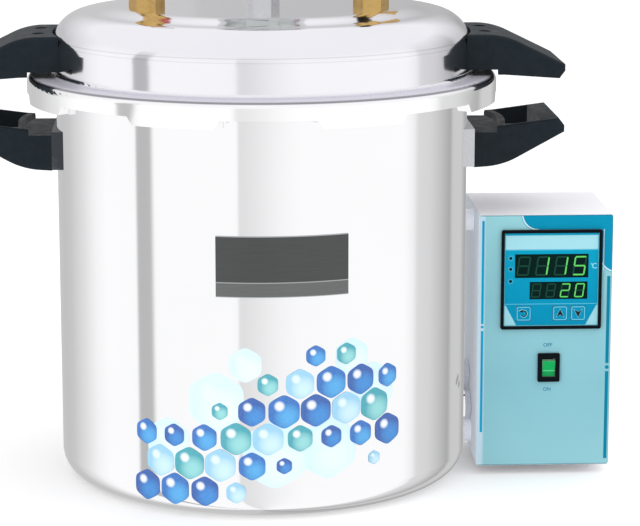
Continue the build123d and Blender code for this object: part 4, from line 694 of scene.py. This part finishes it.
def swept(edge):
    """The deep blue corner, its rounded edge moved outwards by so much."""
    upper = disc(film, x, z, corner_left, corner_radius + edge, soft) | film.span(
        x, corner_left[0] - soft, corner_left[0] + soft
    )
    upper = upper * film.span(z, bezel_high[2] - 0.004, bezel_high[2] - 0.0039)
    lower = disc(film, x, z, corner_right, corner_radius + edge, soft) | film.span(
        z, corner_right[1] - soft, corner_right[1] + soft
    )
    lower = lower * film.span(x, bezel_high[0] - 0.002, bezel_high[0] - 0.0019)
    return upper | lower


deep = ink(0, 142, 178)
ground = film.mix(swept(corner_line), ground, ink(40, 160, 190))
ground = film.mix(swept(corner_pale), ground, ink(214, 238, 244))
ground = film.mix(swept(0.0), ground, deep)
beside = between(film, x, bezel_high[0] + 0.0010, bezel_high[0] + 0.0015, soft)
beside = beside * between(film, z, bezel_high[2] - 0.030, bezel_high[2], soft)
ground = film.mix(beside, ground, ink(214, 238, 244))

# Each stripe has a middle line, half its width, the heights between which it runs, the height of its
# dot, and a colour.
stripes = (
    (film_low[0] + 0.0028, 0.0009, ((0.1117, 0.1864), (0.0320, 0.1066)), 0.1095, ink(0, 158, 198)),
    (film_high[0] - 0.0022, 0.0012, ((0.0820, 0.1458), (0.0114, 0.0761)), 0.0791, ink(0, 126, 156)),
)
for middle, half, runs, dot, colour in stripes:
    line = between(film, x, middle - half, middle + half, soft)
    for low, high in runs:
        ground = film.mix(line * between(film, z, low, high, soft), ground, colour)
    ground = film.mix(disc(film, x, z, (middle, dot), half * 1.15, soft), ground, colour)
# Painted shade: dark lines painted along the film's top, right and bottom edges.
painted_edge_shade = film.span(z, film_high[2] - 0.0006, film_high[2] - 0.0003)
painted_edge_shade = painted_edge_shade | film.span(x, film_high[0] - 0.0005, film_high[0] - 0.0002) * 0.6
painted_edge_shade = painted_edge_shade | film.span(z, film_low[2] + 0.0007, film_low[2] + 0.0004)
ground = film.mix(painted_edge_shade * 0.7, ground, ink(40, 92, 110))
film.feed("Base Color", film.mix(weave * 0.08, ground, ink(0, 60, 80)))
film.feed("Roughness", film.span(weave, 0.3, 0.7, 0.3, 0.4))
dress(film, "front_film")


# The instrument's bezel, case, clamps and display backs: black plastic with the fine grain of the
# mould. The switch's frame, the inlet, the relay, the release lever and the gauge's needle are alike.
plastic = Finish("black_moulding", {"Specular IOR Level": 0.06})
mould = plastic.noise(0.0009, detail=3.0)
plastic.feed("Base Color", plastic.mix(mould, ink(2, 8, 12), ink(10, 17, 22)))
plastic.feed("Roughness", plastic.span(mould, 0.3, 0.7, 0.36, 0.52))
plastic.bump(mould, 0.00003)
dress(
    plastic, "controller_bezel", "controller_case", "controller_clamps", "rocker_frame", "mains_inlet",
    "display_modules", "heater_relay", "release_lever", "gauge_needle",
)


# The instrument's face: film printed from behind, with a pale head band, a deep blue field and two pale
# corners at its foot, ruled in pale blue. The keys wear the same film.
face = Finish("printed_face", {"Specular IOR Level": 0.06})
x, y, z = face.axes()
middle = (face_low[0] + face_high[0]) / 2
half_face = (face_high[0] - face_low[0]) / 2
field_fade = (0.122, 0.168)
head_band = (0.1658, 0.1759)
head_rule = (0.1652, 0.1655)
foot_line = 0.1262
foot_corners = (0.1108, 0.1252)
lamp_heights = (0.1595, 0.1516, 0.1428)
printed = face.span(z, *field_fade, 0.0, 0.8) + face.noise(0.02) * 0.2
field = face.mix(printed, ink(0, 136, 174), ink(4, 156, 190))
head = between(face, z, *head_band, soft)
head = head * face.span(abs(x - middle), half_face - 0.0007, half_face - 0.0005, 1, 0)
field = face.mix(head, field, ink(158, 213, 223))
rise = (foot_line - z) / 0.0155
corner_edge = half_face - 0.0006 - (rise * 0.0082)
foot = face.span(abs(x - middle) - corner_edge, -0.00012, 0.00012)
foot = foot * between(face, z, *foot_corners, soft)
field = face.mix(foot, field, ink(150, 205, 216))
rules = between(face, z, foot_line - 0.00018, foot_line + 0.00018, soft / 2)
rules = rules | between(face, z, *head_rule, soft / 2)
rules = rules | face.span(half_face - abs(x - middle), 0.00025, 0.0005, 1, 0)
rules = rules | face.span(z, face_low[2] + 0.0003, face_low[2] + 0.0006, 1, 0)
lamps_low, lamps_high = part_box("indicator_lamps")
for height in lamp_heights:
    halo = disc(face, x, z, ((lamps_low[0] + lamps_high[0]) / 2, height), 0.0019, 0.0004)
    rules = rules | halo * 0.3
face.feed("Base Color", face.mix(rules * 0.75, field, ink(120, 208, 226)))
face.feed("Roughness", face.span(face.noise(0.0006), 0.3, 0.7, 0.3, 0.38))
dress(face, "controller_face", "button_set", "button_up", "button_down")


# The two displays: smoked windows with slanted seven-bar digits behind them. Lit bars glow green, and
# the unlit ones show as dark green ghosts.
smoked = Finish("smoked_window", {"Specular IOR Level": 0.05})
tint = smoked.noise(0.004, detail=2.0)
smoked.feed("Base Color", smoked.mix(tint, ink(0, 24, 22), ink(2, 34, 31)))
smoked.feed("Roughness", smoked.span(tint, 0.3, 0.7, 0.18, 0.26))
dress(smoked, "display_upper", "display_lower", "indicator_lamps")

lit = Finish("lit_bars", {"Emission Strength": 0.2})
glow = lit.noise(0.0016, detail=2.0)
lit.feed("Base Color", lit.mix(glow, ink(52, 168, 70), ink(80, 196, 84)))
lit.feed("Emission Color", lit.mix(glow, ink(96, 210, 90), ink(140, 236, 120)))
ghost = print_ink("ghost_bars", (2, 58, 42))
digit_slant = 0.14
print_lift = 0.00001
front_print = 0.00004
under_print = 0.00002
bars_of = {
    "0": "abcdef", "1": "bc", "2": "abged", "5": "afgcd", "8": "abcdefg", " ": "",
}


def bar(middle_x, middle_z, length, thick, upright):
    """The six corners of one bar: a strip whose ends come to a point."""
    half = length / 2
    side = thick / 2
    flat = half - side
    upper = [(-half, 0), (-flat, side), (flat, side)]
    lower = [(half, 0), (flat, -side), (-flat, -side)]
    corners = np.array(upper + lower)
    if upright:
        corners = corners[:, ::-1]
    return corners + [middle_x, middle_z]


def digit(shown, across, up, width, height, thick):
    """The bars of one digit, slanted: each point moves aside by its height over the middle times the
    slant."""
    half = width / 2 - thick / 2
    rise = height / 2 - thick / 2
    gap = thick * 0.28
    places = {
        "a": (0, rise, False), "d": (0, -rise, False), "g": (0, 0, False),
        "b": (half, rise / 2, True), "c": (half, -rise / 2, True),
        "f": (-half, rise / 2, True), "e": (-half, -rise / 2, True),
    }
    outlines = []
    for key in shown:
        middle_x, middle_z, upright = places[key]
        length = (rise if upright else 2 * half) - gap
        corners = bar(middle_x, middle_z, length + thick * 0.35, thick, upright)
        corners[:, 0] += corners[:, 1] * digit_slant
        outlines.append(corners + [across, up])
    return outlines


readings = (
    ("display_upper", " 115", (0.0063, 0.0133), 0.0088, 0.0140, 0.00110),
    ("display_lower", "  20", (0.0048, 0.0103), 0.0066, 0.0102, 0.00092),
)
for name, reading, (first, pitch), width, height, thick in readings:
    low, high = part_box(name)
    up = (low[2] + high[2]) / 2
    lit_bars = []
    ghost_bars = []
    for place, sign in enumerate(reading):
        across = low[0] + first + pitch * place
        lit_bars += digit(bars_of[sign], across, up, width, height, thick)
        unlit = [key for key in bars_of["8"] if key not in bars_of[sign]]
        ghost_bars += digit(unlit, across, up, width, height, thick)
    behind = low[1] - print_lift
    fit(plates(f"{name}_lit", lit_bars, behind, front_print), lit, "vessel")
    fit(plates(f"{name}_ghost", ghost_bars, behind, under_print), ghost, "vessel")

pale_ink = print_ink("pale_blue_ink", (138, 214, 230))
degree_x = 0.2338
degree_z = 0.1534
degree = ring_part(0.00035, 0.00062, 0, 359.9, (degree_x - 0.0013, degree_z + 0.0017), 24)
behind = face_low[1] - print_lift
fit(plates("degree_ring", [degree], behind, front_print), pale_ink, "vessel")
mesh = lettering("degree_letter", "C", 0.0038, degree_x + 0.0008, degree_z, behind, front_print)
fit(mesh, pale_ink, "vessel")


# The three keys: film-covered squares with a rounded pale outline, and a black sign on each: a turning
# arrow, an arrow up and an arrow down.
sign_ink = print_ink("key_sign_ink", (14, 20, 24))
key_print = 0.00003


def loop(name, centre, half, rounding, width, back, thick):
    """A rounded square's outline as a thin flat band. The band's path is a square whose corners are
    quarter circles, and its section is a flat rectangle, width wide and thick deep."""
    turn = np.linspace(0, 2 * np.pi, 64, endpoint=False) + np.pi / 64
    quarter_x = np.sign(np.cos(turn)) * (half - rounding)
    quarter_z = np.sign(np.sin(turn)) * (half - rounding)
    rows = []
    for side, front in ((-1, 0), (-1, 1), (1, 1), (1, 0), (-1, 0)):
        radius = rounding + side * width / 2
        rows.append(
            np.stack(
                [
                    centre[0] + quarter_x + radius * np.cos(turn),
                    np.full(turn.shape, back - front * thick),
                    centre[1] + quarter_z + radius * np.sin(turn),
                ],
                axis=-1,
            )
        )
    return skin(name, np.array([rows]))


arrow = np.array([(0, 0.0031), (0.0028, -0.0028), (0, -0.0010), (-0.0028, -0.0028)])
turning = ring_part(0.00165, 0.00245, -150, 120, (0, 0))
turning_head = np.array([(-0.0033, 0.00175), (-0.00055, 0.0031), (-0.0009, 0.0006)])
for name, signs in (
    ("set", [turning, turning_head]), ("up", [arrow]), ("down", [arrow * [1, -1]]),
):
    low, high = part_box(f"button_{name}")
    centre = np.array([(low[0] + high[0]) / 2, (low[2] + high[2]) / 2])
    behind = low[1] - print_lift
    mesh = loop(f"key_outline_{name}", centre, 0.0046, 0.0011, 0.00032, behind, key_print)
    fit(mesh, pale_ink, f"key_{name}")
    upper = [sign + centre for sign in signs]
    mesh = plates(f"key_sign_{name}", upper, behind - under_print, key_print)
    fit(mesh, sign_ink, f"key_{name}")
    under = [sign * 1.14 + centre for sign in signs]
    mesh = plates(f"key_sign_edge_{name}", under, behind, under_print)
    fit(mesh, pale_ink, f"key_{name}")


# The switch: a green rocker moulded in one piece, which stands in a black frame with its lower half
# pressed. Its upper half is painted a lighter green and its lower half darker, as painted light and
# shade on its two faces, a painted highlight lies where the faces meet, and OFF and ON are printed over
# and under it.
frame_low, frame_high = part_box("rocker_frame")
rocker_x = (frame_low[0] + frame_high[0]) / 2
rocker_z = (frame_low[2] + frame_high[2]) / 2
green = Finish("green_moulding", {"Specular IOR Level": 0.12, "Emission Strength": 0.12})
x, y, z = green.axes()
depth = green.noise(0.002, detail=2.0)
# Painted light and shade: the upper half lighter, the lower darker, and a painted highlight line across.
upper = green.span(z, rocker_z - 0.0022, rocker_z - 0.0012)
lit_and_shaded_green = green.mix(upper, ink(6, 138, 74), ink(0, 160, 82))
painted_highlight_bend = green.span(abs(z - rocker_z + 0.0024), 0.0006, 0.0002)
lit_and_shaded_green = green.mix(painted_highlight_bend * 0.8, lit_and_shaded_green, ink(90, 216, 146))
green.feed("Base Color", green.mix(depth * 0.12, lit_and_shaded_green, ink(60, 196, 120)))
green.feed("Emission Color", green.mix(depth, ink(0, 150, 60), ink(10, 160, 70)))
green.feed("Roughness", green.span(depth, 0.3, 0.7, 0.2, 0.3))
dress(green, "rocker")

teal_ink = print_ink("deep_blue_ink", (0, 112, 142))
word_x = rocker_x - 0.0008
behind = film_low[1] - print_lift
switch_words = (("OFF", 0.0958, 0.0026), ("ON", 0.0633, 0.0025))
for words, up, height in switch_words:
    mesh = lettering(f"switch_{words.lower()}", words, height, word_x, up, behind, front_print)
    fit(mesh, teal_ink, "vessel")


# Inside and behind: the instrument's board is green, with its copper showing faintly through the
# lacquer, and the inlet's three pins are plated.
board = Finish("circuit_board", {"Coat Weight": 0.3, "Coat Roughness": 0.15})
tracks = board.node("ShaderNodeTexVoronoi", {"distance": "MANHATTAN"}, {"Scale": 300.0})
lines = board.span(tracks, 0.3, 0.34)
board.feed("Base Color", board.mix(lines, ink(18, 84, 44), ink(34, 116, 62)))
board.feed("Roughness", board.span(board.noise(0.002), 0.3, 0.7, 0.3, 0.45))
dress(board, "circuit_board")

inlet_low, inlet_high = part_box("mains_inlet")
inlet_x = (inlet_low[0] + inlet_high[0]) / 2
inlet_z = (inlet_low[2] + inlet_high[2]) / 2
pin_root = inlet_high[1] - 0.017
pin_skin = 0.00004
pins = []
for across, up in ((-0.007, -0.002), (0.007, -0.002), (0, 0.002)):
    half_wide = 0.001 + pin_skin
    half_high = 0.002 + pin_skin
    corners = np.array([(-1, -1), (1, -1), (1, 1), (-1, 1)]) * [half_wide, half_high]
    pins.append(corners + [inlet_x + across, inlet_z + up])
pin_length = 0.011 + pin_skin
fit(plates("inlet_pins", pins, pin_root + pin_length, pin_length - 0.0002), steel, "vessel")


# The studio: a white table that runs out of sight under an even light, brighter from above and from the
# right. Pale and grey reflectors stand round it, and the polished metal shows them as upright bands. It
# doesn't show the matt pieces beside it.
floor_mesh = bpy.data.meshes.new("floor")
reach = 30.0
corners = [(-reach, -reach, 0), (reach, -reach, 0), (reach, reach, 0), (-reach, reach, 0)]
floor_mesh.from_pydata(corners, [], [(0, 1, 2, 3)])
floor = bpy.data.objects.new("floor", floor_mesh)
bpy.context.scene.collection.objects.link(floor)
paper = (0.86, 0.86, 0.86, 1)
matt = {"Base Color": paper, "Roughness": 1.0, "Specular IOR Level": 0.0, "Emission Strength": 0.12}
table = Finish("table", matt)
seen = table.node("ShaderNodeLightPath")
table.feed("Emission Color", table.mix(seen, (0, 0, 0, 1), (1, 1, 1, 1)))
floor_mesh.materials.append(table.material)
floor.visible_glossy = False
matt_in_mirror = (
    "box_", "front_film", "controller", "display", "degree", "indicator", "button", "key_", "rocker",
    "switch", "circuit", "heater_relay", "terminal", "panel", "mains", "spacer", "gland", "wall_gland",
    "body_handle", "vessel_saddles", "heating", "temperature", "mounting", "stud",
)
for piece in bpy.data.objects:
    if piece.name.startswith(matt_in_mirror):
        piece.visible_glossy = False

world = bpy.data.worlds.new("studio")
bpy.context.scene.world = world
world.use_nodes = True
around = Nodes(world.node_tree)
x, y, z = around.axes()
azimuth = x.math("ARCTAN2", x, y * -1)
share = around.span(azimuth, -math.pi, math.pi)
reflectors = (
    (-180, 0.60), (-150, 0.56), (-138, 0.60), (-121, 0.78), (-108, 0.97), (-98, 1.04), (-75.5, 1.03),
    (-74.5, 0.51), (-65.2, 0.52), (-64.2, 1.03), (-15.4, 1.03), (-14.6, 0.77), (-5, 0.85), (8, 0.97),
    (19, 1.03), (84, 1.04), (91, 0.94), (95, 0.74), (106, 0.70), (116, 0.58), (128, 0.42),
    (133, 0.62), (148, 0.62), (160, 0.40), (180, 0.55),
)
stops = [((angle + 180) / 360, (level, level, level * 1.004, 1)) for angle, level in reflectors]
bands = around.node("ShaderNodeValToRGB", {"stops": stops}, {0: share})
slope = x * x + y * y
high = around.span(z / slope.math("SQRT", slope), 0.15, 0.6)
bands = around.mix(high, bands, (0.95, 0.95, 0.965, 1))
rays = around.node("ShaderNodeLightPath").socket.node.outputs
glossy = Value(around, rays["Is Glossy Ray"])
camera_ray = Value(around, rays["Is Camera Ray"])
overhead = z * abs(z) * 0.55 + (z | 0) * (x | 0) * 1.9
dome = around.mix(around.span(overhead, 0.0, 1.0), (0.66, 0.66, 0.67, 1), (1.7, 1.7, 1.72, 1))
sky = around.mix(glossy, dome, bands)
sky = around.mix(camera_ray, sky, (1, 1, 1, 1))
around.tree.links.new(sky.socket, around.tree.nodes["Background"].inputs["Color"])
around.tree.nodes["Background"].inputs["Strength"].default_value = 1.0

lamp = bpy.data.lights.new("key", "AREA")
lamp.size = 1.5
lamp.energy = 10
key = bpy.data.objects.new("key", lamp)
key.location = (-1.2, -1.4, 2.0)
key.rotation_euler = (math.radians(42), 0, math.radians(-40))
key.visible_glossy = False
bpy.context.scene.collection.objects.link(key)

side_lamp = bpy.data.lights.new("side", "AREA")
side_lamp.size = 1.2
side_lamp.energy = 20
side = bpy.data.objects.new("side", side_lamp)
side.location = (-1.7, -2.1, 0.35)
side.rotation_euler = (math.radians(86), 0, math.radians(-41))
side.visible_glossy = False
bpy.context.scene.collection.objects.link(side)


# The camera: a long lens 1.8 m in front of the pot and a little above its lid, turned slightly to the
# right, so that the box shows its top and its left side.
lens = bpy.data.cameras.new("camera")
lens.sensor_width = 36.0
lens.lens = 144.4
camera = bpy.data.objects.new("camera", lens)
tilted_down = 11.55
turned_right = 2.79
camera.location = (-0.04721, -1.81742, 0.52073)
camera.rotation_euler = (math.radians(90 - tilted_down), 0, math.radians(-turned_right))
bpy.context.scene.collection.objects.link(camera)
bpy.context.scene.camera = camera
bpy.context.scene.view_settings.view_transform = "Standard"
